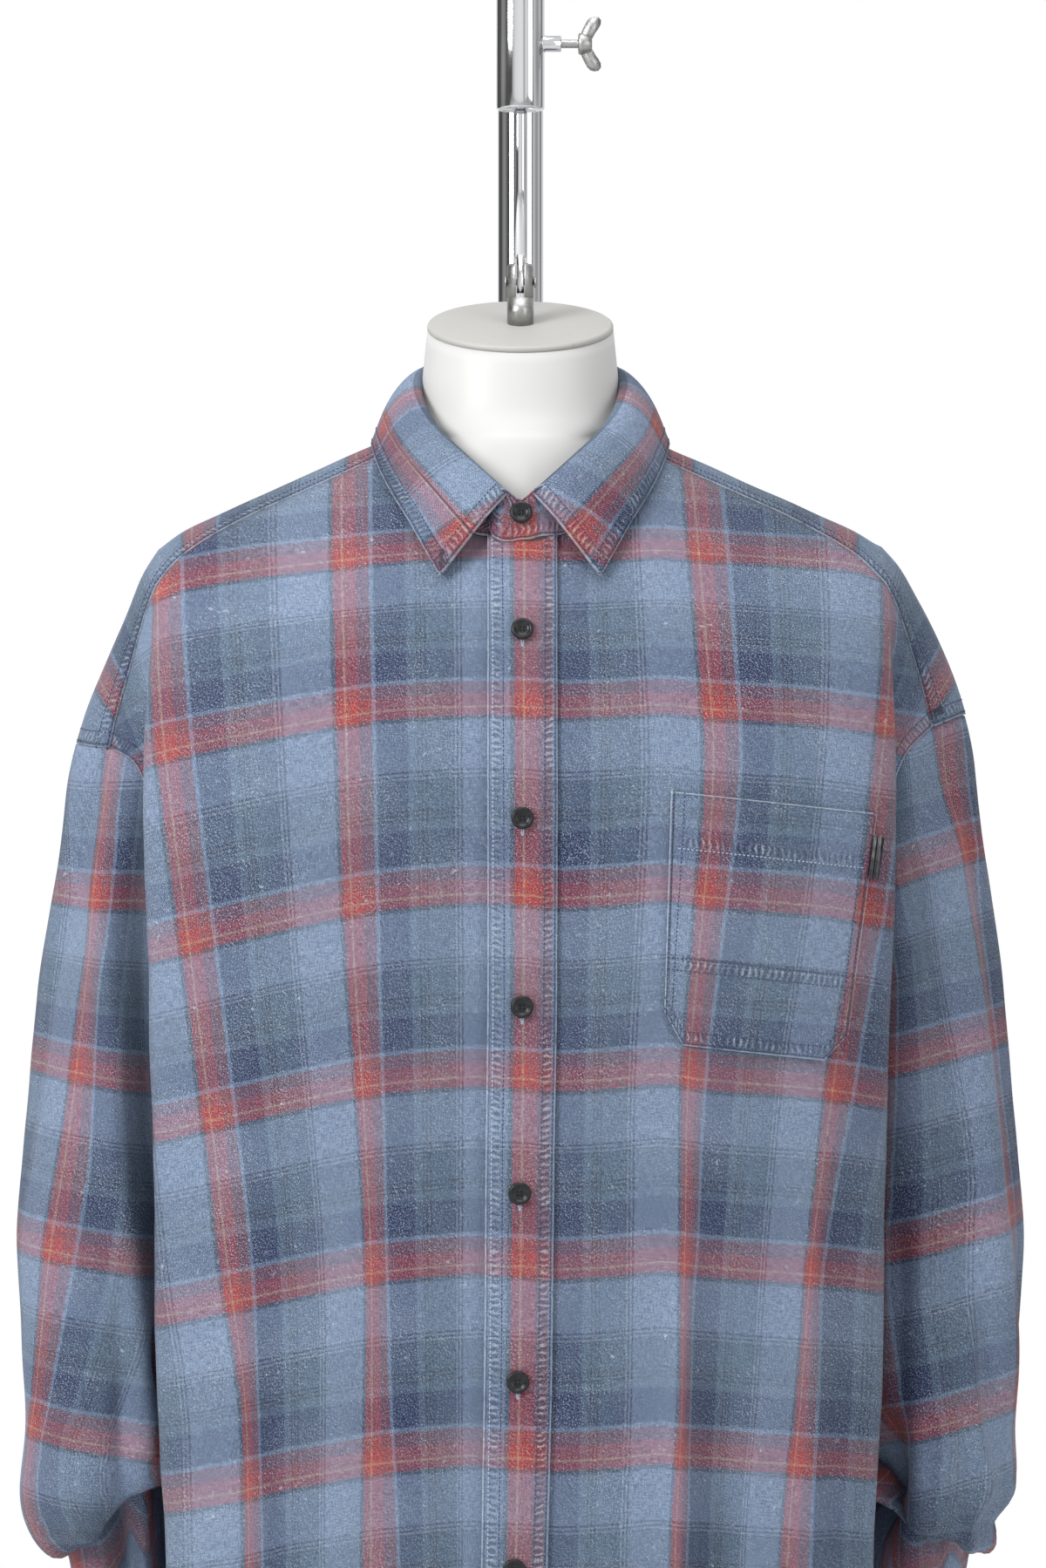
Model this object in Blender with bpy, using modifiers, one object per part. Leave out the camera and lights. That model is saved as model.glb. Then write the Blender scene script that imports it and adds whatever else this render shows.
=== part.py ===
"""A checked shirt on a limbless dress form, which hangs from a chromed stand.

Metres, +Z up, and the front faces -Y. The wearer's left is +X. The origin is on the floor, under the rod that
the form hangs from. Heights inside the functions are measured from CHEST_Z, which the photograph is centred on.
"""

import math

import bmesh
import bpy
from mathutils import Matrix, Vector

# Driving sizes
CHEST_Z = 0.62
WALL = 0.0014  # cloth wall
LAYER = 0.0018  # from one cloth wall's middle to the next, where one lies on the other
UNDER_LAYER = 0.0026  # how far the wearer's right front lies under the left
TRIM, TOP_TRIM = 0.0005, 0.0009  # each piece stops this far short of a seam line
POCKET_LAYER = 0.0025
SLEEVE_GAP = 0.0021

# Torso of the garment
NECK_X, NECK_Y, NECK_MIDDLE_Y = 0.064, 0.077, -0.012  # neckline, seen from above
NECK_SEAM_TURN = 0.5685  # share of the half turn round the neck where the yoke's front seam meets it
SHOULDER_Z = 0.212  # where the two shoulder lines would meet over the neck
SHOULDER_FALL = 0.4535  # drop of the shoulder line per metre out
SHOULDER_ROUND = 0.14  # height over which the shoulder rounds down to the full depth
SHOULDER_X = 0.19  # where the shoulder turns down into the dropped sleeve head
FOLD_SHARE = 0.72  # share of a section that runs from the middle to the fold edge
UNDERARM_SHARE = 0.55  # share of a side edge that is side seam
HEM_MIDDLE_FRONT, HEM_MIDDLE_BACK, HEM_SIDE = -0.546, -0.560, -0.505
BACK_SEAM_Z, BACK_SEAM_DROP = 0.085, 0.010
TIP_X, TIP_Z, TIP_LIFT = 0.2355, 0.0290, 0.0075
UNDERARM = Vector((0.160, 0.010, -0.205))

# z, half width at the fold edge, depth at the middle, depth at the fold edge
FRONT_SECTIONS = (
    (0.200, 0.1900, 0.0950, 0.0720),
    (0.120, 0.1900, 0.0950, 0.0720),
    (0.050, 0.1925, 0.1110, 0.0730),
    (0.000, 0.1930, 0.1190, 0.0740),
    (-0.100, 0.1905, 0.1250, 0.0730),
    (-0.200, 0.1880, 0.1260, 0.0720),
    (-0.300, 0.1860, 0.1260, 0.0710),
    (-0.400, 0.1820, 0.1255, 0.0700),
    (-0.560, 0.1770, 0.1250, 0.0690),
)
BACK_SECTIONS = (
    (0.200, 0.1900, 0.1150, 0.0760),
    (0.120, 0.1900, 0.1150, 0.0760),
    (0.050, 0.1860, 0.1180, 0.0840),
    (0.000, 0.1820, 0.1210, 0.0870),
    (-0.100, 0.1780, 0.1270, 0.0880),
    (-0.200, 0.1770, 0.1290, 0.0880),
    (-0.300, 0.1770, 0.1300, 0.0870),
    (-0.400, 0.1780, 0.1310, 0.0860),
    (-0.560, 0.1790, 0.1320, 0.0850),
)

# Armhole and side seam, x, y, z, from the yoke's end down to the underarm and on to the hem
ARMHOLE_FRONT = (
    (0.197, -0.052, 0.008),
    (0.183, -0.050, -0.040),
    (0.173, -0.036, -0.100),
    (0.165, -0.012, -0.165),
)
ARMHOLE_BACK = (
    (0.197, 0.064, 0.004),
    (0.182, 0.070, -0.050),
    (0.171, 0.058, -0.120),
    (0.164, 0.036, -0.180),
)
SIDE_SEAM = ((0.163, 0.010, -0.300), (0.161, 0.010, -0.400), (0.157, 0.010, HEM_SIDE))
YOKE_FRONT_END = Vector((0.2155, -0.030, 0.024))
YOKE_BACK_END = Vector((0.2155, 0.045, 0.030))

# Folds that hang in the body: side, x at the top, x at the hem, z where it starts, half width, rise or sink
BODY_FOLDS = (
    (1, 0.086, 0.080, -0.130, 0.011, 0.0075),
    (1, 0.101, 0.097, -0.130, 0.015, -0.0070),
    (1, 0.154, 0.146, -0.110, 0.011, 0.0065),
    (1, 0.168, 0.162, -0.110, 0.012, -0.0050),
    (-1, 0.150, 0.128, -0.100, 0.012, 0.0070),
    (-1, 0.136, 0.112, -0.120, 0.016, -0.0065),
    (-1, 0.034, 0.032, -0.170, 0.014, -0.0040),
)
BACK_FOLDS = (
    (1, 0.060, 0.075, 0.020, 0.030, 0.0080),
    (1, 0.120, 0.128, 0.000, 0.024, -0.0070),
    (-1, 0.055, 0.064, 0.010, 0.028, 0.0075),
    (-1, 0.112, 0.124, 0.000, 0.024, -0.0080),
)

# Sleeve rings under the armhole: z outside, z inside, x outside, x inside, y front, y back
SLEEVE_RINGS = (
    (-0.235, -0.238, 0.2652, 0.1700, -0.058, 0.092),
    (-0.285, -0.285, 0.2632, 0.1700, -0.060, 0.092),
    (-0.335, -0.328, 0.2605, 0.1705, -0.060, 0.090),
    (-0.372, -0.354, 0.2625, 0.1715, -0.058, 0.087),
    (-0.392, -0.370, 0.2575, 0.1735, -0.050, 0.080),
    (-0.404, -0.378, 0.2475, 0.1760, -0.040, 0.072),
    (-0.402, -0.374, 0.2385, 0.1775, -0.032, 0.064),
    (-0.414, -0.394, 0.2345, 0.1765, -0.028, 0.062),
    (-0.433, -0.428, 0.2330, 0.1745, -0.025, 0.062),
    (-0.4475, -0.4475, 0.2310, 0.1750, -0.023, 0.060),
)
CUFF_TOP, CUFF_BOTTOM = -0.4480, -0.5120
CUFF_X, CUFF_Y, CUFF_HALF_X, CUFF_HALF_Y = 0.203, 0.0185, 0.0285, 0.0415
SLEEVE_SIDES, SLEEVE_FAN = 24, 6

# Where the fronts, back and yoke have their columns, as x on the shoulder, and their rows, from hem to top
COLUMNS = (0.0185, 0.034, 0.048, NECK_X, 0.076, 0.086, 0.098, 0.112, 0.130, 0.150, 0.166, 0.179, 0.187,
           SHOULDER_X)
HEAD_COLUMNS = (0.2, 0.4, 0.6, 0.8, 1.0)  # over the dropped sleeve head
ROWS = (0, 0.09, 0.18, 0.27, 0.36, 0.45, UNDERARM_SHARE, 0.62, 0.69, 0.76, 0.82, 0.88, 0.93, 0.97, 1)

# Collar
ROLL_X, ROLL_Y, ROLL_MIDDLE_Y = 0.0545, 0.073, -0.010  # roll line, seen from above
ROLL_BACK_Z, ROLL_FALL, ROLL_POWER = 0.2265, 0.0785, 2.5
COLLAR_WALL = 0.0016
LEAF_SHARE = 0.965  # share of the half turn where a leaf's front edge leaves the roll line
# Outer edge of the fall: x, y, z round the neck, then x and z down the leaf, which lies on the torso
FALL_BACK = ((0, 0.088, 0.182), (0.034, 0.080, 0.181), (0.062, 0.055, 0.180), (0.0765, 0.018, 0.1815))
LEAF_EDGE = ((0.0768, 0.1745), (0.0700, 0.1570), (0.0560, 0.1330), (0.0410, 0.1060))
LEAF_OUT = (0.0050, 0.0045, 0.0045, 0.0045)  # from the torso to the leaf's edge, for each point of LEAF_EDGE
LEAF_CLEAR = 0.0040  # from the torso to the leaf
BAND_ENDS = (-1.075, 1.085)  # the band's two ends, in half turns from the middle of the back, past the front
BAND_HEIGHTS = (0.085, 0.91)  # shares of the way from the neckline to the roll line

# Placket, pocket and buttons
PLACKET_LEFT, PLACKET_MIDDLE, PLACKET_RIGHT = -0.0165, 0.0010, 0.0185
BUTTON_Z = (0.1365, 0.0775, -0.0175, -0.1125, -0.2065, -0.3015, -0.3965)
BUTTON_RADIUS, BUTTON_DEPTH = 0.00575, 0.0030
POCKET_LEFT, POCKET_RIGHT = (0.0762, 0.0727), (0.1800, 0.1660)  # x at the top and at the bottom
POCKET_TOP = (-0.0038, -0.0150)  # z at the left and at the right
POCKET_BOTTOM = ((0.0, -0.1149), (0.10, -0.1321), (0.86, -0.1405), (1.0, -0.1273))  # share across, z
TAB_X, TAB_Z, TAB_TILT = 0.1800, -0.0375, math.radians(10)
TAB_WIDTH, TAB_HEIGHT, TAB_THICK = 0.0062, 0.0225, 0.0010

# Dress form
FORM_CLEAR, FORM_BACK_CLEAR = 0.008, 0.012  # from the cloth to the form, in front and over it, and behind it
# z, half width
FORM_RINGS = (
    (-0.420, 0.148),
    (-0.300, 0.148),
    (-0.200, 0.148),
    (-0.150, 0.155),
    (-0.090, 0.166),
    (-0.020, 0.176),
    (0.040, 0.180),
    (0.085, 0.180),
    (0.108, 0.177),
)
SHOULDER_RINGS = (0.128, 0.142, 0.156, 0.167)  # z, where the form's width follows the shoulder line
# z, half width, y front, y back, share of the cap's tilt
NECK_RINGS = (
    (0.1750, 0.0600, -0.0560, 0.0550, 0.05),
    (0.1880, 0.0560, -0.0550, 0.0510, 0.25),
    (0.2070, 0.0525, -0.0510, 0.0490, 0.60),
    (0.2395, 0.0490, -0.0463, 0.0463, 1.00),
)
CAP_TILT, CAP_RADIUS, CAP_THICK = math.radians(19), 0.049, 0.003
FORM_SIDES = 32

# Stand
TUBE_RADIUS, BEND_RADIUS, BEND_Z = 0.0127, 0.090, 0.440
HEAD_BOTTOM, ROD_RADIUS, ROD_TOP, BORE_RADIUS = 0.355, 0.0035, 0.402, 0.0038
PIN_Z, FORK_RADIUS, FORK_SLOT, PIN_RADIUS = 0.2645, 0.0070, 0.0046, 0.0016
FORK_TOP, SLOT_DEPTH = 0.0095, 0.0085  # over and under the pin
TONGUE_TOP, TONGUE_LENGTH = 0.0125, 0.0200  # the rod's flattened end, which starts this far over the pin
SCREW_Z, BOSS_RADIUS, BOSS_END, SHANK_RADIUS, SCREW_HOLE = 0.390, 0.00435, 0.0216, 0.0024, 0.0025
WING_X, WING_RADIUS, WING_THICK, WING_OUT = 0.0375, 0.0052, 0.0022, 0.0092
BASE_X, BASE_Y, BASE_MIDDLE_Y, BASE_THICK = 0.420, 0.400, 0.060, 0.012
FACE_GAP = 0.0003

# name: colour, roughness, metallic
FINISHES = {
    "checked_cloth": ((0.17, 0.25, 0.45), 0.9, 0.0),
    "black_button": ((0.02, 0.02, 0.022), 0.35, 0.0),
    "dark_metal": ((0.06, 0.06, 0.065), 0.3, 1.0),
    "white_form": ((0.85, 0.85, 0.84), 0.35, 0.0),
    "neck_cap": ((0.74, 0.73, 0.70), 0.4, 0.0),
    "chrome": ((0.80, 0.80, 0.82), 0.12, 1.0),
    "zinc": ((0.62, 0.62, 0.62), 0.35, 1.0),
}


# Curves and tables

def smooth(share):
    share = min(max(share, 0.0), 1.0)
    return share * share * (3 - 2 * share)


def mix(a, b, share):
    return a + (b - a) * share


def read_table(table, key):
    """The row at this key, which falls down the table's first column, as a smooth line through the rows."""
    low = 0
    while low < len(table) - 2 and key < table[low + 1][0]:
        low += 1
    k0, k1 = table[low][0], table[low + 1][0]
    share = min(max((key - k0) / (k1 - k0), 0.0), 1.0)
    before, after = table[max(low - 1, 0)], table[min(low + 2, len(table) - 1)]
    values = []
    for column in range(1, len(table[0])):
        a, b = table[low][column], table[low + 1][column]
        slope_a = (b - before[column]) / (k1 - before[0]) * (k1 - k0)
        slope_b = (after[column] - a) / (after[0] - k0) * (k1 - k0)
        s2, s3 = share * share, share ** 3
        values.append((2 * s3 - 3 * s2 + 1) * a + (s3 - 2 * s2 + share) * slope_a
                      + (3 * s2 - 2 * s3) * b + (s3 - s2) * slope_b)
    return values


def spline(points, place):
    """Catmull-Rom through the points; place runs from 0 to len(points) - 1."""
    i = min(int(place), len(points) - 2)
    s = place - i
    p1, p2 = points[i], points[i + 1]
    p0 = points[i - 1] if i else p1 * 2 - p2
    p3 = points[i + 2] if i + 2 < len(points) else p2 * 2 - p1
    return (p1 * 2 + (p2 - p0) * s + (p0 * 2 - p1 * 5 + p2 * 4 - p3) * (s * s)
            + (p1 * 3 - p0 - p2 * 3 + p3) * (s ** 3)) * 0.5


class Route:
    """A smooth line through a few points, read by its share of the length."""

    def __init__(self, points, steps=16):
        points = [Vector(p) for p in points]
        count = (len(points) - 1) * steps
        self.points = [spline(points, i / steps) for i in range(count + 1)]
        self.lengths = [0.0]
        for a, b in zip(self.points, self.points[1:]):
            self.lengths.append(self.lengths[-1] + (b - a).length)

    def at(self, share):
        wanted = min(max(share, 0.0), 1.0) * self.lengths[-1]
        i = 0
        while i < len(self.lengths) - 2 and self.lengths[i + 1] < wanted:
            i += 1
        span = self.lengths[i + 1] - self.lengths[i]
        return self.points[i].lerp(self.points[i + 1], (wanted - self.lengths[i]) / span)


# The garment's torso: one side at a time, with x outward, then mirrored by `side`

def ridge_z(x):
    return SHOULDER_Z - SHOULDER_FALL * abs(x)


def rounding(drop):
    """Share of the full depth, this far below the shoulder line."""
    share = 1 - min(max(drop, 0.0) / SHOULDER_ROUND, 1.0)
    return math.sqrt(1 - share * share)


def fold_rise(folds, x, z, side):
    rise = 0.0
    for fold_side, x_top, x_hem, z_top, half_width, height in folds:
        if fold_side != side or z > z_top:
            continue
        down = (z_top - z) / (z_top - HEM_MIDDLE_BACK)
        off = (x - mix(x_top, x_hem, down)) / half_width
        rise += height * smooth(down * 1.6) * math.exp(-off * off)
    return rise


def torso_y(x, z, side, front):
    """Depth of the cloth over the torso, for x up to the fold edge."""
    half, middle, edge = read_table(FRONT_SECTIONS if front else BACK_SECTIONS, z)
    across = min(abs(x) / half, 1.0)
    depth = edge + (middle - edge) * math.sqrt(1 - across ** 2.5)
    depth = depth * rounding(ridge_z(x) - z) + fold_rise(BODY_FOLDS if front else BACK_FOLDS, x, z, side)
    return -depth if front else depth


def torso_top(x, y):
    """Height of the cloth over the shoulder at this x and y."""
    _, middle, edge = read_table(FRONT_SECTIONS if y < 0 else BACK_SECTIONS, 0.15)
    depth = edge + (middle - edge) * math.sqrt(1 - min(abs(x) / SHOULDER_X, 1.0) ** 2.5)
    return ridge_z(x) - SHOULDER_ROUND * (1 - math.sqrt(1 - min(abs(y) / depth, 1.0) ** 2))


def neckline(turn):
    """Neckline at a share of the half turn from the middle of the back to the middle of the front."""
    angle = math.pi * turn
    x, y = NECK_X * math.sin(angle), NECK_MIDDLE_Y + NECK_Y * math.cos(angle)
    return Vector((x, y, torso_top(x, y)))


def front_seam_z(x):
    """Yoke's front seam, as seen from the front."""
    share = (x - NECK_X) / (SHOULDER_X - NECK_X)
    return ridge_z(x) - 0.009 - 0.011 * max(share, 0.0) ** 6


def front_top_z(x):
    x = abs(x)
    if x > NECK_X - 0.0012:
        return front_seam_z(x)
    turn = 1 - math.asin(x / NECK_X) / math.pi
    return neckline(turn).z


def back_seam_z(x):
    return BACK_SEAM_Z - BACK_SEAM_DROP * (abs(x) / SHOULDER_X) ** 3


def shoulder_section(x, w):
    """Over the shoulder at x: w is -1 at the yoke's front seam, 0 on the shoulder line, 1 at its back seam."""
    drop = ridge_z(x) - (front_seam_z(x) if w < 0 else back_seam_z(x))
    angle = math.acos(1 - drop / SHOULDER_ROUND) * abs(w)
    z = ridge_z(x) - SHOULDER_ROUND * (1 - math.cos(angle))
    return Vector((x, torso_y(x, z, 0, w < 0), z))


def sleeve_head(q, w):
    """The dropped shoulder: q is 0 where the shoulder turns down, 1 at the armhole seam; w as above."""
    start = shoulder_section(SHOULDER_X, w)
    tip = Vector((TIP_X, 0.0, TIP_Z))
    end = YOKE_FRONT_END if w < 0 else YOKE_BACK_END
    angle = abs(w) * math.pi / 2
    over = math.cos(angle)
    last = Vector((mix(end.x, tip.x, over), end.y * math.sin(angle), mix(end.z, tip.z, over)))
    swell = 4 * q * (1 - q) * math.cos(w * 0.9)
    return start.lerp(last, q) + Vector((0.0065 * swell, 0, 0.0035 * swell))


def side_edge(t, front):
    """Side seam and armhole edge of a front or back, from the hem (0) to the yoke (1)."""
    route = ROUTES["side"] if t < UNDERARM_SHARE else ROUTES["armhole_front" if front else "armhole_back"]
    if t < UNDERARM_SHARE:
        return route.at(1 - t / UNDERARM_SHARE)
    return route.at((1 - t) / (1 - UNDERARM_SHARE))


ROUTES = {
    "side": Route((UNDERARM,) + SIDE_SEAM),
    "armhole_front": Route((YOKE_FRONT_END,) + ARMHOLE_FRONT + (UNDERARM,)),
    "armhole_back": Route((YOKE_BACK_END,) + ARMHOLE_BACK + (UNDERARM,)),
}


def body_point(s, t, side, front):
    """A point of a front or back: s runs from the middle, 0, to the side edge, 1, and t from the hem to the top."""
    sections = FRONT_SECTIONS if front else BACK_SECTIONS
    hem_middle = HEM_MIDDLE_FRONT if front else HEM_MIDDLE_BACK
    hem = mix(hem_middle, HEM_SIDE + 0.006, smooth((s / FOLD_SHARE - 0.35) / 0.65))

    def to_fold(share):
        across = math.sin(share * math.pi / 2)
        top = front_top_z(across * SHOULDER_X) if front else back_seam_z(across * SHOULDER_X)
        z = mix(hem, top, t)
        x = across * read_table(sections, z)[0]
        return Vector((x, torso_y(x, z, side, front), z))

    if s <= FOLD_SHARE:
        return to_fold(s / FOLD_SHARE)
    fold, edge = to_fold(1.0), side_edge(t, front)
    middle = (fold + edge) / 2
    sunk = middle + Vector((-0.007 * smooth(t * 6 + 0.3), 0, 0))
    at_top = sleeve_head(0.5, -1 if front else 1)
    valley = sunk.lerp(at_top, smooth((t - 0.9) / 0.1))
    share = (s - FOLD_SHARE) / (1 - FOLD_SHARE)
    return spline([to_fold(0.93), fold, valley, edge], 1 + 2 * share)


def lifted(point, side):
    """The two shoulders hang a little differently, so the armhole's top is higher on one side."""
    share = smooth((point.x - 0.180) / (TIP_X - 0.180)) * smooth((point.z + 0.16) / 0.16)
    return Vector((point.x * side, point.y, point.z + TIP_LIFT * side * share))


def steps(first, last, count):
    return [mix(first, last, i / count) for i in range(count + 1)]


# Meshes

def finish(name):
    material = bpy.data.materials.get(name)
    if material is None:
        colour, roughness, metallic = FINISHES[name]
        material = bpy.data.materials.new(name)
        material.use_nodes = True
        shader = material.node_tree.nodes["Principled BSDF"]
        shader.inputs["Base Color"].default_value = (*colour, 1)
        shader.inputs["Roughness"].default_value = roughness
        shader.inputs["Metallic"].default_value = metallic
        material.diffuse_color = (*colour, 1)
    return material


def add_object(name, mesh, material, parent=None, collection="checked_shirt_on_form"):
    mesh.materials.append(finish(material))
    part = bpy.data.objects.new(name, mesh)
    bpy.data.collections[collection].objects.link(part)
    if parent:
        part.parent = parent
        part.matrix_parent_inverse = parent.matrix_world.inverted()
    return part


def add_shell(name, rows, material, parent, wrap=False, wall=WALL):
    """A wall of cloth through rows of points, as an open surface with Solidify; wrap closes each row."""
    mesh = bpy.data.meshes.new(name)
    wide = len(rows[0])
    faces = []
    for r in range(len(rows) - 1):
        for c in range(wide if wrap else wide - 1):
            here, there = r * wide + c, r * wide + (c + 1) % wide
            faces.append((here, there, there + wide, here + wide))
    lift = Vector((0, 0, CHEST_Z))
    mesh.from_pydata([tuple(p + lift) for row in rows for p in row], [], faces)
    part = add_object(name, mesh, material, parent)
    solidify = part.modifiers.new("Wall", "SOLIDIFY")
    solidify.thickness = wall
    solidify.offset = 0
    return part


def trimmed(rows, first=0.0, last=0.0, bottom=0.0, top=0.0):
    """Draws the four edges of a grid in along its own lines, to leave the seam gap."""
    def draw_in(row, share_first, share_last):
        row = list(row)
        if share_first:
            row[0] = row[0] + (row[1] - row[0]).normalized() * share_first
        if share_last:
            row[-1] = row[-1] + (row[-2] - row[-1]).normalized() * share_last
        return row

    rows = [draw_in(row, first, last) for row in rows]
    columns = [draw_in(column, bottom, top) for column in zip(*rows)]
    return [list(row) for row in zip(*columns)]


def moved_out(rows, distance):
    """The same grid, moved along its normals. Rows run up and columns run to +X, so the normals face -Y."""
    out = []
    for r, row in enumerate(rows):
        line = []
        for c, point in enumerate(row):
            up = rows[min(r + 1, len(rows) - 1)][c] - rows[max(r - 1, 0)][c]
            along = row[min(c + 1, len(row) - 1)] - row[max(c - 1, 0)]
            line.append(point + along.cross(up).normalized() * distance)
        out.append(line)
    return out


def turned(name, profile, material, parent, place, sides=24):
    """A turned piece: the profile's (radius, height) pairs about its own Z, with a Screw modifier."""
    mesh = bpy.data.meshes.new(name)
    edges = [(i, i + 1) for i in range(len(profile) - 1)]
    mesh.from_pydata([(radius, 0, height) for radius, height in profile], edges, [])
    part = add_object(name, mesh, material)
    part.matrix_world = place
    if parent:
        part.parent = parent
        part.matrix_parent_inverse = parent.matrix_world.inverted()
    screw = part.modifiers.new("Turn", "SCREW")
    screw.steps = screw.render_steps = sides
    screw.use_merge_vertices = True
    screw.merge_threshold = 0.00001
    return part


def cylinder(name, radius, length, material, parent, place, sides=24, collection="checked_shirt_on_form"):
    mesh = bpy.data.meshes.new(name)
    shape = bmesh.new()
    bmesh.ops.create_cone(shape, cap_ends=True, segments=sides, radius1=radius, radius2=radius, depth=length)
    bmesh.ops.triangulate(shape, faces=[face for face in shape.faces if len(face.verts) > 4])
    shape.to_mesh(mesh)
    shape.free()
    part = add_object(name, mesh, material, collection=collection)
    part.matrix_world = place
    if parent:
        part.parent = parent
        part.matrix_parent_inverse = parent.matrix_world.inverted()
    return part


def box(name, size, material, parent, place, collection="checked_shirt_on_form"):
    mesh = bpy.data.meshes.new(name)
    shape = bmesh.new()
    bmesh.ops.create_cube(shape, size=1)
    bmesh.ops.scale(shape, vec=size, verts=shape.verts)
    shape.to_mesh(mesh)
    shape.free()
    part = add_object(name, mesh, material, collection=collection)
    part.matrix_world = place
    if parent:
        part.parent = parent
        part.matrix_parent_inverse = parent.matrix_world.inverted()
    return part


def boolean(part, other, operation):
    """Joins or cuts with a helper, which stays out of the render."""
    modifier = part.modifiers.new(operation.title(), "BOOLEAN")
    modifier.operation = operation
    modifier.solver = "EXACT"
    modifier.object = other
    other.hide_render = True


def at(x, y, z):
    return Matrix.Translation((x, y, z + CHEST_Z))


def along_x(x, y, z):
    return at(x, y, z) @ Matrix.Rotation(math.pi / 2, 4, "Y")


# Fronts, back and yoke

def column_share(x):
    """The share s of a body section whose line reaches the top at this x."""
    return math.asin(x / SHOULDER_X) * 2 / math.pi * FOLD_SHARE


def half_rows(side, front, middle_columns):
    """One side of a front or back, from its first column to the side edge."""
    shares = [column_share(x) for x in middle_columns + COLUMNS]
    grid = []
    for t in ROWS:
        line = [body_point(s, t, side, front) for s in shares]
        for q in HEAD_COLUMNS:
            s = mix(FOLD_SHARE, 1, q)
            at_top = sleeve_head(q, -1 if front else 1)
            line.append(at_top if t == 1 else body_point(s, t, side, front))
        grid.append(line)
    return grid


def front_rows(side):
    """A front from its placket edge to the side edge. The wearer's right front lies one layer under the left."""
    middle = (PLACKET_LEFT, PLACKET_MIDDLE) if side > 0 else (-PLACKET_RIGHT, -PLACKET_MIDDLE, -PLACKET_LEFT)
    grid = half_rows(side, True, middle)
    if side < 0:
        for point in (point for line in grid for point in line):
            point.y += UNDER_LAYER * (1 - smooth((point.x - PLACKET_RIGHT) / 0.030))
    return [[lifted(point, side) for point in line] for line in grid]


def add_fronts(parent):
    for name, side in (("front_left", 1), ("front_right", -1)):
        grid = trimmed(front_rows(side), last=TRIM, top=TOP_TRIM)
        add_shell(name, grid, "checked_cloth", parent)


def add_back(parent):
    grid = []
    for left, right in zip(half_rows(1, False, (0.0,)), half_rows(-1, False, (0.0,))):
        grid.append([lifted(p, -1) for p in right[:0:-1]] + [lifted(p, 1) for p in left])
    add_shell("back", trimmed(grid, first=TRIM, last=TRIM, top=TRIM), "checked_cloth", parent)


def yoke_line(q, w):
    """A point of the yoke: q is 0 at the middle of the back, 1 by the neck, 2 at the shoulder, 3 at the armhole."""
    if q < 1:
        turn = q * NECK_SEAM_TURN
        inner = neckline(turn)
        outer = shoulder_section(NECK_X * q, 1)
        share = (w + 1) / 2
        x, y = mix(inner.x, outer.x, share), mix(inner.y, outer.y, share)
        return Vector((x, y, torso_top(x, y))) if share < 1 else outer
    if q < 2:
        return shoulder_section(mix(NECK_X, SHOULDER_X, q - 1), w)
    return sleeve_head(q - 2, w)


def add_yoke(parent, across=7):
    half = steps(0, 1, 4)[:-1]
    half += [1 + (x - NECK_X) / (SHOULDER_X - NECK_X) for x in COLUMNS if x >= NECK_X]
    half += [2 + q for q in HEAD_COLUMNS]
    columns = [(-1, q) for q in half[:0:-1]] + [(1, q) for q in half]
    grid = [[lifted(yoke_line(q, w), side) for side, q in columns] for w in steps(-1, 1, across)]
    add_shell("yoke", trimmed(grid, first=TRIM, last=TRIM, bottom=TRIM, top=TRIM), "checked_cloth", parent)


# Sleeves and cuffs

def armhole(turn):
    """The armhole loop: 0 at the tip, then down the front to the underarm (0.5), and up the back."""
    front = turn <= 0.5
    share = turn * 2 if front else 2 - turn * 2
    cap = 0.12
    if share < cap:
        return sleeve_head(1.0, (-1 if front else 1) * share / cap)
    return ROUTES["armhole_front" if front else "armhole_back"].at((share - cap) / (1 - cap))


def sleeve_ring(ring, turn):
    z_out, z_in, x_out, x_in, y_front, y_back = ring
    angle = turn * 2 * math.pi
    outward = (1 + math.cos(angle)) / 2
    flat = 0.86
    x = mix(x_in, x_out, 0.5 + 0.5 * math.copysign(abs(math.cos(angle)) ** flat, math.cos(angle)))
    y = (y_front + y_back) / 2 - (y_back - y_front) / 2 * math.copysign(abs(math.sin(angle)) ** flat, math.sin(angle))
    return Vector((x, y, mix(z_in, z_out, outward)))


def sleeve_rows(side):
    turns = [i / SLEEVE_SIDES for i in range(SLEEVE_SIDES)]
    rows = []
    for fan in steps(0, 1, SLEEVE_FAN)[:-1]:
        line = []
        for turn in turns:
            start, end = armhole(turn), sleeve_ring(SLEEVE_RINGS[0], turn)
            outward = (1 + math.cos(turn * 2 * math.pi)) / 2
            away = Vector((1, 0, -0.15)).lerp(Vector((0.12, 0, -1)), outward ** 3).normalized()
            start = start + away * SLEEVE_GAP * mix(1.0, 0.5, outward)
            point = start.lerp(end, fan)
            point.x += 0.003 * outward * math.sin(fan * math.pi)
            point.y -= 0.008 * math.sin(turn * 2 * math.pi) * math.sin(fan * math.pi)
            line.append(lifted(point, side))
        rows.append(line)
    for ring in SLEEVE_RINGS:
        rows.append([lifted(sleeve_ring(ring, turn), side) for turn in turns])
    return rows


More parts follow.
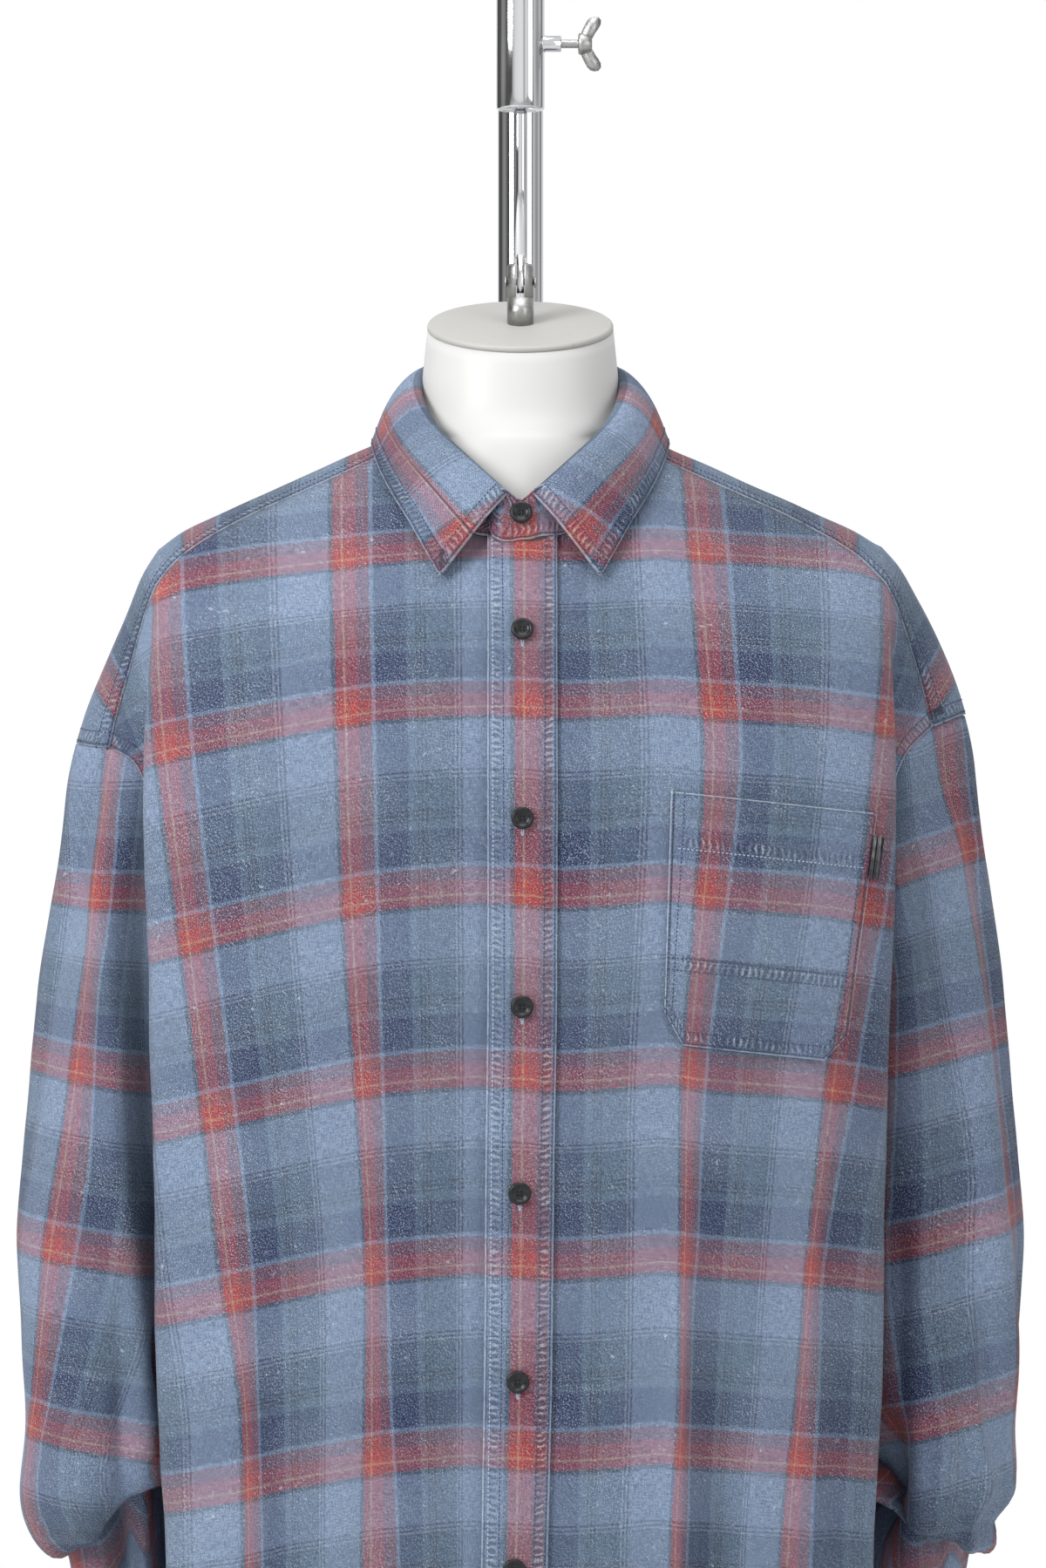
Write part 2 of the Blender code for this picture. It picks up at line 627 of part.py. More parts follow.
def add_sleeve(name, side, parent):
    add_shell("sleeve_" + name, sleeve_rows(side), "checked_cloth", parent, wrap=True)
    rows = []
    for share in steps(0, 1, 2):
        grown = 1 + 0.03 * share
        z = mix(CUFF_TOP - TRIM * 2, CUFF_BOTTOM, share)
        ring = (z, z, CUFF_X + CUFF_HALF_X * grown, CUFF_X - CUFF_HALF_X * grown,
                CUFF_Y - CUFF_HALF_Y * grown, CUFF_Y + CUFF_HALF_Y * grown)
        rows.append([lifted(sleeve_ring(ring, i / 24), side) for i in range(24)])
    add_shell("cuff_" + name, rows, "checked_cloth", parent, wrap=True, wall=0.0022)
    button_y = CUFF_Y - CUFF_HALF_Y * 0.985 - 0.0015
    front = Vector(((CUFF_X + 0.010) * side, button_y, mix(CUFF_TOP, CUFF_BOTTOM, 0.5)))
    add_button("cuff_button_" + name, front, Vector((0.12 * side, -1, 0)), parent)


# Collar

def roll_line(turn):
    angle = math.pi * turn
    y = ROLL_MIDDLE_Y + ROLL_Y * math.cos(angle)
    fall = ((1 - math.cos(angle)) / 2) ** ROLL_POWER
    return Vector((ROLL_X * math.sin(angle), y, ROLL_BACK_Z - ROLL_FALL * fall))


ROUTES["fall"] = Route(FALL_BACK + tuple(
    (x, torso_y(x, z, 0, True) - out, z) for (x, z), out in zip(LEAF_EDGE, LEAF_OUT)))


def band_line(place, height):
    """The band. place is 0 at the middle of the back and 1 or -1 at the middle of the front, and runs past it.
    height is 0 at the neckline and 1 at the roll line."""
    past = abs(place) > 1
    turn = 2 - abs(place) if past else abs(place)
    point = neckline(turn).lerp(roll_line(turn), height)
    point.x *= 1 if (place > 0) != past else -1
    front = smooth((abs(place) - 0.86) / 0.14)
    point.y += (-LAYER if place > 0 else 0.0) * front
    return point


def add_collar(parent):
    places = steps(*BAND_ENDS, 40)
    rows = [[band_line(place, height) for place in places] for height in steps(*BAND_HEIGHTS, 3)]
    for row, rounding_in in ((rows[0], 0.30), (rows[-1], 0.55)):
        row[0] = row[0].lerp(row[1], rounding_in)
        row[-1] = row[-1].lerp(row[-2], rounding_in)
    add_shell("collar_stand", rows, "checked_cloth", parent, wall=COLLAR_WALL)

    grid = []
    for v in steps(0, 1, 5):
        half = []
        for turn in steps(0, 1, 15):
            inner = roll_line(turn * LEAF_SHARE)
            outer = ROUTES["fall"].at(turn)
            out = Vector((inner.x, inner.y - ROLL_MIDDLE_Y, 0)).normalized()
            swell = math.sin(math.pi * v ** 0.62)
            point = inner.lerp(outer, v) + out * (0.0045 * swell) + Vector((0, 0, 0.0012 * swell))
            point = point + (out + Vector((0, 0, 1))) * (COLLAR_WALL * (1 - v))
            if turn > 0.55:
                clear = torso_y(point.x, min(point.z, front_top_z(point.x)), 0, True) - LEAF_CLEAR
                share = smooth((turn - 0.55) / 0.25) * smooth(v * 1.5)
                point.y = mix(point.y, min(point.y, clear), share)
            half.append(point)
        left = [Vector((-p.x, p.y, p.z)) for p in half[:0:-1]]
        grid.append(left + half)
    add_shell("collar_fall", grid, "checked_cloth", parent, wall=COLLAR_WALL)


# Placket, pocket and buttons

def add_placket(parent):
    grid = [line[:3] for line in front_rows(1)]
    add_shell("placket", moved_out(trimmed(grid, top=TRIM), LAYER), "checked_cloth", parent)


def pocket_point(u, v):
    """u across from the placket side, v up from the bottom, on the wearer's left front."""
    i = 0
    while i < len(POCKET_BOTTOM) - 2 and u > POCKET_BOTTOM[i + 1][0]:
        i += 1
    (u0, z0), (u1, z1) = POCKET_BOTTOM[i], POCKET_BOTTOM[i + 1]
    low = mix(z0, z1, (u - u0) / (u1 - u0))
    high = mix(POCKET_TOP[0], POCKET_TOP[1], u)
    z = mix(low, high, v)
    down = (high - z) / (high - min(z0, z1))
    x = mix(mix(POCKET_LEFT[0], POCKET_LEFT[1], down), mix(POCKET_RIGHT[0], POCKET_RIGHT[1], down), u)
    return Vector((x, torso_y(x, z, 1, True), z))


def add_pocket(parent):
    across = (0.0, 0.10, 0.25, 0.42, 0.58, 0.72, 0.86, 1.0)
    grid = [[pocket_point(u, v) for u in across] for v in steps(0, 1, 8)]
    add_shell("pocket", moved_out(grid, POCKET_LAYER), "checked_cloth", parent)
    here = Vector((TAB_X, torso_y(TAB_X, TAB_Z, 1, True), TAB_Z))
    beside = Vector((TAB_X - 0.004, torso_y(TAB_X - 0.004, TAB_Z, 1, True), TAB_Z))
    normal = (here - beside).cross(Vector((0, 0, 1))).normalized()
    centre = here + normal * (POCKET_LAYER + WALL / 2 + TAB_THICK / 2 + FACE_GAP + 0.0005)
    across = Vector((0, 0, 1)).cross(-normal).normalized()
    place = Matrix((across, Vector((0, 0, 1)).cross(across), Vector((0, 0, 1)))).transposed().to_4x4()
    place = at(*centre) @ place @ Matrix.Rotation(TAB_TILT, 4, "Y")
    box("pocket_tab", (TAB_WIDTH, TAB_THICK, TAB_HEIGHT), "dark_metal", parent, place)


def add_button(name, centre, normal, parent):
    """centre is the middle of the button's back."""
    r, h = BUTTON_RADIUS, BUTTON_DEPTH
    profile = ((0, 0), (r * 0.88, 0), (r, h * 0.9), (r * 0.74, h), (r * 0.66, h * 0.7), (0, h * 0.7))
    place = at(*centre) @ normal.to_track_quat("Z", "Y").to_matrix().to_4x4()
    turned(name, profile[::-1], "black_button", parent, place, sides=14)


def add_buttons(parent):
    for number, z in enumerate(BUTTON_Z):
        x = (PLACKET_LEFT + PLACKET_RIGHT) / 2
        out = LAYER + WALL / 2 + FACE_GAP
        if number == 0:
            low, high = neckline(1.0), roll_line(1.0)
            share = (z - low.z) / (high.z - low.z)
            point = low.lerp(high, share)
            normal = (high - low).cross(Vector((1, 0, 0))).normalized()
            normal = normal if normal.y < 0 else -normal
            point = Vector((x - 0.0005, point.y, z)) + normal * (LAYER + COLLAR_WALL / 2 + FACE_GAP)
        else:
            point = Vector((x, torso_y(x, z, 1, True), z))
            above = torso_y(x, z + 0.004, 1, True) - torso_y(x, z - 0.004, 1, True)
            normal = Vector((0, -0.008, above)).normalized()
            point = point + normal * out
        add_button("button_%d" % (number + 1), point, normal, parent)


# Dress form

def form_rows():
    """Rings from the hem up: the torso's own shape, drawn in, then the neck."""
    levels = list(FORM_RINGS)
    levels += [(z, (SHOULDER_Z - FORM_CLEAR - z) / SHOULDER_FALL) for z in SHOULDER_RINGS]
    rows = []
    for z, half in levels:
        row = []
        for i in range(FORM_SIDES):
            angle = 2 * math.pi * i / FORM_SIDES
            x = half * math.sin(angle)
            front = math.cos(angle) > 0
            _, middle, _ = read_table(FRONT_SECTIONS if front else BACK_SECTIONS, z)
            across = max(1 - abs(x / half) ** 2.6, 0.0) ** (1 / 2.6)
            clear = FORM_CLEAR if front else FORM_BACK_CLEAR
            depth = (middle - clear) * across * rounding(ridge_z(x) - FORM_CLEAR - z)
            row.append(Vector((x, -depth if front else depth, z)))
        rows.append(row)
    for z, half, y_front, y_back, tilted in NECK_RINGS:
        row = []
        for i in range(FORM_SIDES):
            angle = 2 * math.pi * i / FORM_SIDES
            y = mix(y_back, y_front, 0.5 + 0.5 * math.cos(angle))
            row.append(Vector((half * math.sin(angle), y, z + y * math.tan(CAP_TILT) * tilted)))
        rows.append(row)
    return rows


def add_form(parent):
    rows = form_rows()
    mesh = bpy.data.meshes.new("dress_form")
    shape = bmesh.new()
    rings = [[shape.verts.new(p + Vector((0, 0, CHEST_Z))) for p in row] for row in rows]
    for low, high in zip(rings, rings[1:]):
        for i in range(FORM_SIDES):
            after = (i + 1) % FORM_SIDES
            shape.faces.new((low[i], low[after], high[after], high[i]))
    bottom = shape.faces.new(rings[0][::-1])
    top = shape.faces.new(rings[-1])
    bmesh.ops.triangulate(shape, faces=[bottom, top])
    bmesh.ops.recalc_face_normals(shape, faces=shape.faces)
    shape.to_mesh(mesh)
    shape.free()
    add_object("dress_form", mesh, "white_form", parent)

    tilt = Matrix.Rotation(CAP_TILT, 4, "X")
    neck_top = NECK_RINGS[-1][0]
    cap_place = at(0, 0, neck_top) @ tilt @ Matrix.Translation((0, 0, FACE_GAP + CAP_THICK / 2))
    cylinder("neck_cap", CAP_RADIUS, CAP_THICK, "neck_cap", parent, cap_place, sides=40)

    fork_top = PIN_Z + FORK_TOP
    length = fork_top - neck_top + 0.010
    fork = cylinder("hanger_fork", FORK_RADIUS, length, "zinc", parent, at(0, 0, fork_top - length / 2))
    slot_place = at(0, 0, PIN_Z - SLOT_DEPTH + 0.025)
    slot = box("fork_slot", (FORK_SLOT, 0.03, 0.05), "zinc", None, slot_place, "cutters")
    boolean(fork, slot, "DIFFERENCE")
    below = at(0, 0, neck_top) @ tilt @ Matrix.Translation((0, 0, FACE_GAP * 2 + CAP_THICK - 0.02))
    boolean(fork, box("fork_foot", (0.06, 0.06, 0.04), "zinc", None, below, "cutters"), "DIFFERENCE")
    pin_hole = cylinder("fork_hole", PIN_RADIUS + 0.0003, 0.04, "zinc", None, along_x(0, 0, PIN_Z), 16, "cutters")
    boolean(fork, pin_hole, "DIFFERENCE")


# Stand

def add_rod(parent):
    """The rod, flattened at its lower end to a tongue in the fork, and the pin through both."""
    tongue_top = PIN_Z + TONGUE_TOP
    length = ROD_TOP - tongue_top
    rod = cylinder("rod", ROD_RADIUS, length, "chrome", parent, at(0, 0, tongue_top + length / 2))
    size = (FORK_SLOT - 0.0008, ROD_RADIUS * 2, TONGUE_LENGTH)
    place = at(0, 0, tongue_top + 0.0015 - TONGUE_LENGTH / 2)
    tongue = box("rod_tongue", size, "chrome", None, place, "cutters")
    boolean(rod, tongue, "UNION")
    pin_hole = cylinder("rod_hole", PIN_RADIUS + 0.00008, 0.03, "zinc", None, along_x(0, 0, PIN_Z), 24, "cutters")
    boolean(rod, pin_hole, "DIFFERENCE")


def add_pin(parent):
    """Pin across the fork: it turns with the fork and runs through the rod's tongue."""
    half = FORK_RADIUS + 0.0004
    head = 0.0029
    upper = ((PIN_RADIUS, half), (head, half), (head, half + 0.0012), (0, half + 0.0012))
    profile = tuple((radius, -height) for radius, height in upper[::-1]) + upper
    turned("fork_pin", profile[::-1], "zinc", parent, along_x(0, 0, PIN_Z), sides=16)


def add_stand(root, screw_axis):
    middle = at(0, 0, (BEND_Z + HEAD_BOTTOM) / 2)
    head = cylinder("stand_head", TUBE_RADIUS, BEND_Z - HEAD_BOTTOM, "chrome", root, middle, 28)
    boss_place = along_x((BOSS_END + 0.010) / 2, 0, SCREW_Z)
    boss = cylinder("head_boss", BOSS_RADIUS, BOSS_END - 0.010, "zinc", None, boss_place, 20, "cutters")
    boolean(head, boss, "UNION")
    bore = cylinder("head_bore", BORE_RADIUS, 0.20, "zinc", None, middle, 24, "cutters")
    boolean(head, bore, "DIFFERENCE")
    hole = cylinder("head_hole", SCREW_HOLE, 0.04, "zinc", None, along_x(0.020, 0, SCREW_Z), 24, "cutters")
    boolean(head, hole, "DIFFERENCE")

    top = BEND_Z + FACE_GAP
    points = [(0, 0, top)]
    for i in range(13):
        angle = math.pi * i / 12
        points.append((0, BEND_RADIUS * (1 - math.cos(angle)), top + 0.003 + BEND_RADIUS * math.sin(angle)))
    points.append((0, 2 * BEND_RADIUS, top))
    curve = bpy.data.curves.new("stand_bend", "CURVE")
    curve.dimensions = "3D"
    curve.bevel_depth = TUBE_RADIUS
    curve.bevel_resolution = 4
    curve.use_fill_caps = True
    line = curve.splines.new("POLY")
    line.points.add(len(points) - 1)
    for point, place in zip(line.points, points):
        point.co = (place[0], place[1], place[2] + CHEST_Z, 1)
    add_curve_object("stand_bend", curve, "chrome", root)

    foot = BASE_THICK + FACE_GAP - CHEST_Z
    length = BEND_Z - foot
    cylinder("stand_column", TUBE_RADIUS, length, "chrome", root, at(0, 2 * BEND_RADIUS, foot + length / 2), 28)

    base_place = Matrix.Translation((0, BASE_MIDDLE_Y, BASE_THICK / 2))
    base = box("base_plate", (BASE_X, BASE_Y, BASE_THICK), "chrome", root, base_place)
    round_corners = base.modifiers.new("Corners", "BEVEL")
    round_corners.width = 0.003
    round_corners.segments = 2

    reach = ROD_RADIUS + 0.0006
    profile = ((0, reach), (SHANK_RADIUS, reach), (SHANK_RADIUS, 0.0305), (0.0048, 0.0305), (0.0060, 0.0325),
               (0.0040, 0.0378), (0, 0.0378))
    screw = turned("wing_screw", profile[::-1], "zinc", screw_axis, along_x(0, 0, SCREW_Z), sides=20)
    for number, way in enumerate((-1, 1)):
        wing_place = at(WING_X, 0, SCREW_Z + way * WING_OUT) @ Matrix.Rotation(math.pi / 2, 4, "X")
        wing = cylinder("wing_%d" % number, WING_RADIUS, WING_THICK, "zinc", None, wing_place, 16, "cutters")
        boolean(screw, wing, "UNION")


def add_curve_object(name, curve, material, parent):
    curve.materials.append(finish(material))
    part = bpy.data.objects.new(name, curve)
    bpy.data.collections["checked_shirt_on_form"].objects.link(part)
    part.parent = parent


def add_empty(name, place, parent=None):
    empty = bpy.data.objects.new(name, None)
    bpy.data.collections["checked_shirt_on_form"].objects.link(empty)
    empty.matrix_world = place
    bpy.context.view_layer.update()
    if parent:
        empty.parent = parent
        empty.matrix_parent_inverse = parent.matrix_world.inverted()
    return empty


def main():
    for old in list(bpy.data.objects):
        bpy.data.objects.remove(old)
    for name in ("checked_shirt_on_form", "cutters"):
        collection = bpy.data.collections.new(name)
        bpy.context.scene.collection.children.link(collection)

    stand = add_empty("stand_root", Matrix.Identity(4))
    screw_axis = add_empty("screw_axis", along_x(0, 0, SCREW_Z), stand)
    rod_slide = add_empty("rod_slide", at(0, 0, HEAD_BOTTOM), stand)
    form_tilt = add_empty("form_tilt", at(0, 0, PIN_Z), rod_slide)

    add_stand(stand, screw_axis)
    add_rod(rod_slide)
    add_pin(form_tilt)
    add_form(form_tilt)
    add_fronts(form_tilt)
    add_back(form_tilt)
    add_yoke(form_tilt)
    add_sleeve("left", 1, form_tilt)
    add_sleeve("right", -1, form_tilt)
    add_collar(form_tilt)
    add_placket(form_tilt)
    add_pocket(form_tilt)
    add_buttons(form_tilt)


main()
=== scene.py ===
# %% [markdown]
# # A washed check shirt on a dress form
#
# The object is a boxy cotton shirt, buttoned over a limbless white form that hangs from a chromed stand.
# The cloth is cut in panels, as a maker cuts it: two fronts, a back, a yoke over the shoulders, two sleeves,
# two cuffs, and a collar of a band and a fall. Each panel below is one thin shell. Its shape comes from a few
# short tables of sizes, and its check comes from a chart that is laid on the cloth in metres.

import math

import bmesh
import bpy
from mathutils import Matrix, Vector, noise


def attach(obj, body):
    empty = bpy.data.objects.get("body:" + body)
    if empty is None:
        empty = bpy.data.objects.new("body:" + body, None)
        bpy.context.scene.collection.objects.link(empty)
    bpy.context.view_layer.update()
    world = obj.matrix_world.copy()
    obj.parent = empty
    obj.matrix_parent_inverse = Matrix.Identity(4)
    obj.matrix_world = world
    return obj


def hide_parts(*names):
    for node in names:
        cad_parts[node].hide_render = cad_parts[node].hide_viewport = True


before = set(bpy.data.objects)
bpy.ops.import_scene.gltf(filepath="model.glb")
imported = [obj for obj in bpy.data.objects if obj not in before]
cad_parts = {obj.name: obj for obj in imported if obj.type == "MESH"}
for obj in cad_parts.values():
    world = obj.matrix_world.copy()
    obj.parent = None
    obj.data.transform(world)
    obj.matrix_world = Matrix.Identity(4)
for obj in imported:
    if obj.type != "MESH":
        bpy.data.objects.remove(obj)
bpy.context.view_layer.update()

CHEST_Z = 0.62  # heights below are measured from here, the middle of the camera's view
LIFT = Vector((0, 0, CHEST_Z))

# %% [markdown]
# ## Camera, floor and light
#
# A shop photographs such a shirt from far off with a long lens, level with the chest, so that nothing looks
# nearer than it is. The light is wide and soft from every side. A bright surround gives the white background,
# and a darker strip in it gives the chromed tube something to mirror, as the dark gaps of a studio do.

# %% Camera
CAMERA_DISTANCE, CAMERA_X, LENS_MM, SENSOR_MM = 3.0, 0.0014, 130.7, 36


def into_scene(name, data):
    thing = bpy.data.objects.new(name, data)
    bpy.context.scene.collection.objects.link(thing)
    return thing


camera = into_scene("camera", bpy.data.cameras.new("camera"))
camera.data.lens = LENS_MM
camera.data.sensor_width = SENSOR_MM
camera.location = (CAMERA_X, -CAMERA_DISTANCE, CHEST_Z)
camera.rotation_euler = (math.radians(90), 0, 0)
bpy.context.scene.camera = camera
bpy.context.scene.view_settings.view_transform = "Standard"


# %% Floor and lights
def add_light(name, place, aim, size, energy):
    lamp = bpy.data.lights.new(name, "AREA")
    lamp.shape = "RECTANGLE"
    lamp.size, lamp.size_y = size
    lamp.energy = energy
    light = into_scene(name, lamp)
    light.location = place
    light.rotation_euler = (Vector(aim) - Vector(place)).to_track_quat("-Z", "Y").to_euler()


def new_material(name, finish):
    """A material with these values of its shader, as (material, tree, shader)."""
    material = bpy.data.materials.new(name)
    material.use_nodes = True
    shader = material.node_tree.nodes["Principled BSDF"]
    for title, value in finish.items():
        shader.inputs[title].default_value = value
    return material, material.node_tree, shader


add_light("softbox_left", (-2.2, -1.9, 1.9), (0, 0, 0.65), (1.1, 1.6), 76)
add_light("softbox_right", (2.4, -2.0, 1.2), (0, 0, 0.6), (1.0, 2.0), 21)
add_light("softbox_top", (0, -0.6, 2.9), (0, 0, 0.7), (2.0, 1.6), 32)

floor_mesh = bpy.data.meshes.new("floor")
floor_mesh.from_pydata([(-3, -3.4, 0), (3, -3.4, 0), (3, 1.4, 0), (-3, 1.4, 0)], [], [(0, 1, 2, 3)])
floor = into_scene("floor", floor_mesh)
floor.location.z = -0.0005
paper = new_material("floor_paper", {"Base Color": (0.88, 0.88, 0.88, 1), "Roughness": 0.85})[0]
floor_mesh.materials.append(paper)

# %% Surround
SOFT_LIGHT = 0.335  # how much light comes from all round
STRIPS_END = 0.35
STRIPS = (  # share of the way from left to right, and how bright the chrome finds the studio there
    (0.03, 0.10), (0.17, 0.06), (0.21, 0.55), (0.30, 0.90), (0.50, 1.0), (0.60, 0.95),
    (0.66, 0.40), (0.70, 0.90), (0.84, 0.80), (0.89, 0.22), (0.94, 0.28), (0.97, 0.75))
world = bpy.data.worlds.new("studio")
bpy.context.scene.world = world
world.use_nodes = True
surround = world.node_tree
surround.nodes.clear()


def add_node(tree, kind, **settings):
    node = tree.nodes.new(kind)
    for name, value in settings.items():
        setattr(node, name, value)
    return node


def link(tree, source, target):
    tree.links.new(source, target)


def fed(tree, kind, source, socket=0, **settings):
    """A new node with this output linked into one of its sockets."""
    node = add_node(tree, kind, **settings)
    link(tree, source, node.inputs[socket])
    return node


def mix_colours(tree, share, a, b, blend="MIX"):
    node = add_node(tree, "ShaderNodeMix", data_type="RGBA", blend_type=blend)
    for socket, value in ((node.inputs[0], share), (node.inputs[6], a), (node.inputs[7], b)):
        if isinstance(value, tuple):
            socket.default_value = (*value, 1)
        elif isinstance(value, (int, float)):
            socket.default_value = value
        else:
            link(tree, value, socket)
    return node.outputs[2]


direction = add_node(surround, "ShaderNodeTexCoord")
split = fed(surround, "ShaderNodeSeparateXYZ", direction.outputs["Generated"])
sideways = fed(surround, "ShaderNodeMapRange", split.outputs["X"], "Value")
sideways.inputs["From Min"].default_value = -1
strips = fed(surround, "ShaderNodeValToRGB", sideways.outputs[0])
for place, grey in STRIPS:
    strips.color_ramp.elements.new(place).color = (grey, grey, grey * 1.01, 1)
for end in (0, -1):
    strips.color_ramp.elements[end].color = (STRIPS_END, STRIPS_END, STRIPS_END, 1)
seen = add_node(surround, "ShaderNodeLightPath")
light_from = mix_colours(surround, seen.outputs["Is Glossy Ray"], (SOFT_LIGHT,) * 3, strips.outputs[0])
shown = mix_colours(surround, seen.outputs["Is Camera Ray"], light_from, (1, 1, 1))
background = fed(surround, "ShaderNodeBackground", shown, "Color")
fed(surround, "ShaderNodeOutputWorld", background.outputs[0])
print("camera, floor, three softboxes and a surround are in place")

# %% [markdown]
# ## The check
#
# A woven check is two sets of stripes, one along the cloth and one across it, and every square shows a
# mixture of its two threads. So the chart is made once, as a strip 95 mm wide, and read twice: across the
# cloth for the warp and along it for the weft. The twill's diagonal decides which of the two lies on top. A
# picture could hold the check too, but a chart of nine stripes and a few lines stays sharp at any distance.

# %% The chart of stripes
REPEAT_MM = 95
REPEAT = REPEAT_MM / 1000
STRIPES = (  # where each stripe starts, in millimetres, and its colour
    (0.0, (0.435, 0.026, 0.004)),
    (4.3, (0.660, 0.360, 0.170)),
    (5.2, (0.435, 0.026, 0.004)),
    (12.0, (0.232, 0.036, 0.040)),
    (19.0, (0.185, 0.265, 0.410)),
    (21.2, (0.002, 0.014, 0.080)),
    (38.2, (0.086, 0.140, 0.214)),
    (62.2, (0.228, 0.312, 0.466)),
    (92.7, (0.080, 0.108, 0.150)),
)
FINE_LINES = (43.6, 45.8, 48.0, 62.7, 64.9, 67.1)  # dark threads, in millimetres
FEATHER = 0.45  # half the soft edge of a stripe, in millimetres
# How far off a dark thread's middle, and the share of the colour that it leaves there
LINE_PROFILE = ((-0.70, 1.0), (-0.30, 0.28), (0.30, 0.28), (0.70, 1.0))


def new_group(name, inputs, outputs):
    """A node group with named sockets: inputs are (name, kind, value) and outputs are (name, kind)."""
    group = bpy.data.node_groups.new(name, "ShaderNodeTree")
    for title, kind, value in inputs:
        socket = group.interface.new_socket(name=title, in_out="INPUT", socket_type=kind)
        if value is not None:
            socket.default_value = value
    for title, kind in outputs:
        group.interface.new_socket(name=title, in_out="OUTPUT", socket_type=kind)
    return group, add_node(group, "NodeGroupInput"), add_node(group, "NodeGroupOutput")


def math_node(tree, operation, a, b=None, c=None):
    node = add_node(tree, "ShaderNodeMath", operation=operation)
    for socket, value in zip(node.inputs, (a, b, c)):
        if value is None:
            continue
        if isinstance(value, (int, float)):
            socket.default_value = value
        else:
            link(tree, value, socket)
    return node.outputs[0]


def ranged(tree, value, from_low, from_high, to_low=0.0, to_high=1.0):
    node = fed(tree, "ShaderNodeMapRange", value, "Value", interpolation_type="SMOOTHSTEP")
    names = ("From Min", "From Max", "To Min", "To Max")
    for name, number in zip(names, (from_low, from_high, to_low, to_high)):
        node.inputs[name].default_value = number
    return node.outputs[0]


def ramp_of(tree, source, stops):
    """A colour ramp with its stops from (place, colour) pairs in order."""
    node = fed(tree, "ShaderNodeValToRGB", source)
    ramp = node.color_ramp
    ramp.elements.remove(ramp.elements[-1])
    ramp.elements[0].position, ramp.elements[0].color = stops[0][0], (*stops[0][1], 1)
    for place, colour in stops[1:]:
        ramp.elements.new(place).color = (*colour, 1)
    return node.outputs[0]


chart, chart_in, chart_out = new_group(
    "stripe_chart", [("Along", "NodeSocketFloat", 0.0)], [("Color", "NodeSocketColor")])
phase = math_node(chart, "FRACT", math_node(chart, "MULTIPLY", chart_in.outputs[0], 1 / REPEAT))
stripe_stops = []
for number, (start, colour) in enumerate(STRIPES):
    if number:
        stripe_stops.append(((start - FEATHER) / REPEAT_MM, STRIPES[number - 1][1]))
    stripe_stops.append(((start + FEATHER) / REPEAT_MM if number else 0.0, colour))
stripe_stops.append((1 - FEATHER / REPEAT_MM, STRIPES[-1][1]))
line_stops = [(0.0, (1, 1, 1))]
for at_mm in FINE_LINES:
    line_stops += [((at_mm + offset) / REPEAT_MM, (grey,) * 3) for offset, grey in LINE_PROFILE]
stripes, lines = ramp_of(chart, phase, stripe_stops), ramp_of(chart, phase, line_stops)
link(chart, mix_colours(chart, 1.0, stripes, lines, "MULTIPLY"), chart_out.inputs[0])
print("the chart has", len(STRIPES), "stripes and", len(FINE_LINES), "fine lines in", REPEAT * 1000, "mm")

# %% [markdown]
# ## Twill, wash and worn seams
#
# The cloth has been washed with stones. That lifts the colour in specks, leaves soft pale clouds, and rubs
# the edges nearly white. Beside a seam the cloth is drawn up by its stitches into short ridges, and the wash
# rubs each ridge pale. The dips between them are painted darker as shade, and a painted shadow lies along the
# seam's edge. One group makes all of this. It reads the chart's place from the UV map "chart", in metres,
# and the way to the nearest seam from the attribute "seam": how far off it is, and how far along.

# %% The washed check as a node group
PALE, DEEP = (0.56, 0.62, 0.68), (0.014, 0.024, 0.055)  # rubbed cloth, and a dark for the yarns and the twill that also paints shade in seam dips and shadow beside seams
FADED = (0.25, 0.33, 0.42)
TWILL_PITCH, PUCKER_PITCH = 0.0013, 0.0034
YARN_SCALE, YARN_STRETCH = 1900, 0.12  # a yarn's marks are short across it and long along it


def noise_texture(tree, vector, scale, detail=2.0, roughness=0.5):
    node = fed(tree, "ShaderNodeTexNoise", vector, "Vector", noise_dimensions="3D")
    for title, value in (("Scale", scale), ("Detail", detail), ("Roughness", roughness)):
        node.inputs[title].default_value = value
    return node.outputs["Fac"]


washed, washed_in, washed_out = new_group(
    "washed_check",
    [("Wash", "NodeSocketFloat", 1.0), ("Seam Wear", "NodeSocketFloat", 1.0)],
    [("Color", "NodeSocketColor"), ("Height", "NodeSocketFloat"), ("Roughness", "NodeSocketFloat")])


def times(a, b):
    return math_node(washed, "MULTIPLY", a, b)


def times_plus(a, b, c):
    return math_node(washed, "MULTIPLY_ADD", a, b, c)


def span(value, *limits):
    return ranged(washed, value, *limits)


def chart_noise(*settings):
    return noise_texture(washed, chart_place, *settings)


def seam_noise(scale):
    return noise_texture(washed, seam_place, scale, 2.0)


chart_place = add_node(washed, "ShaderNodeUVMap", uv_map="chart").outputs[0]
axes = fed(washed, "ShaderNodeSeparateXYZ", chart_place)
across, along = axes.outputs["X"], axes.outputs["Y"]
warp, weft = [fed(washed, "ShaderNodeGroup", way, node_tree=chart).outputs[0] for way in (across, along)]
rising = math_node(washed, "SUBTRACT", along, across)
diagonal = times(rising, 2 * math.pi / TWILL_PITCH)
twill = math_node(washed, "SINE", math_node(washed, "ADD", diagonal, times(chart_noise(900, 1.0), 5.0)))
cloth = mix_colours(washed, times_plus(twill, 0.36, 0.5), warp, weft)

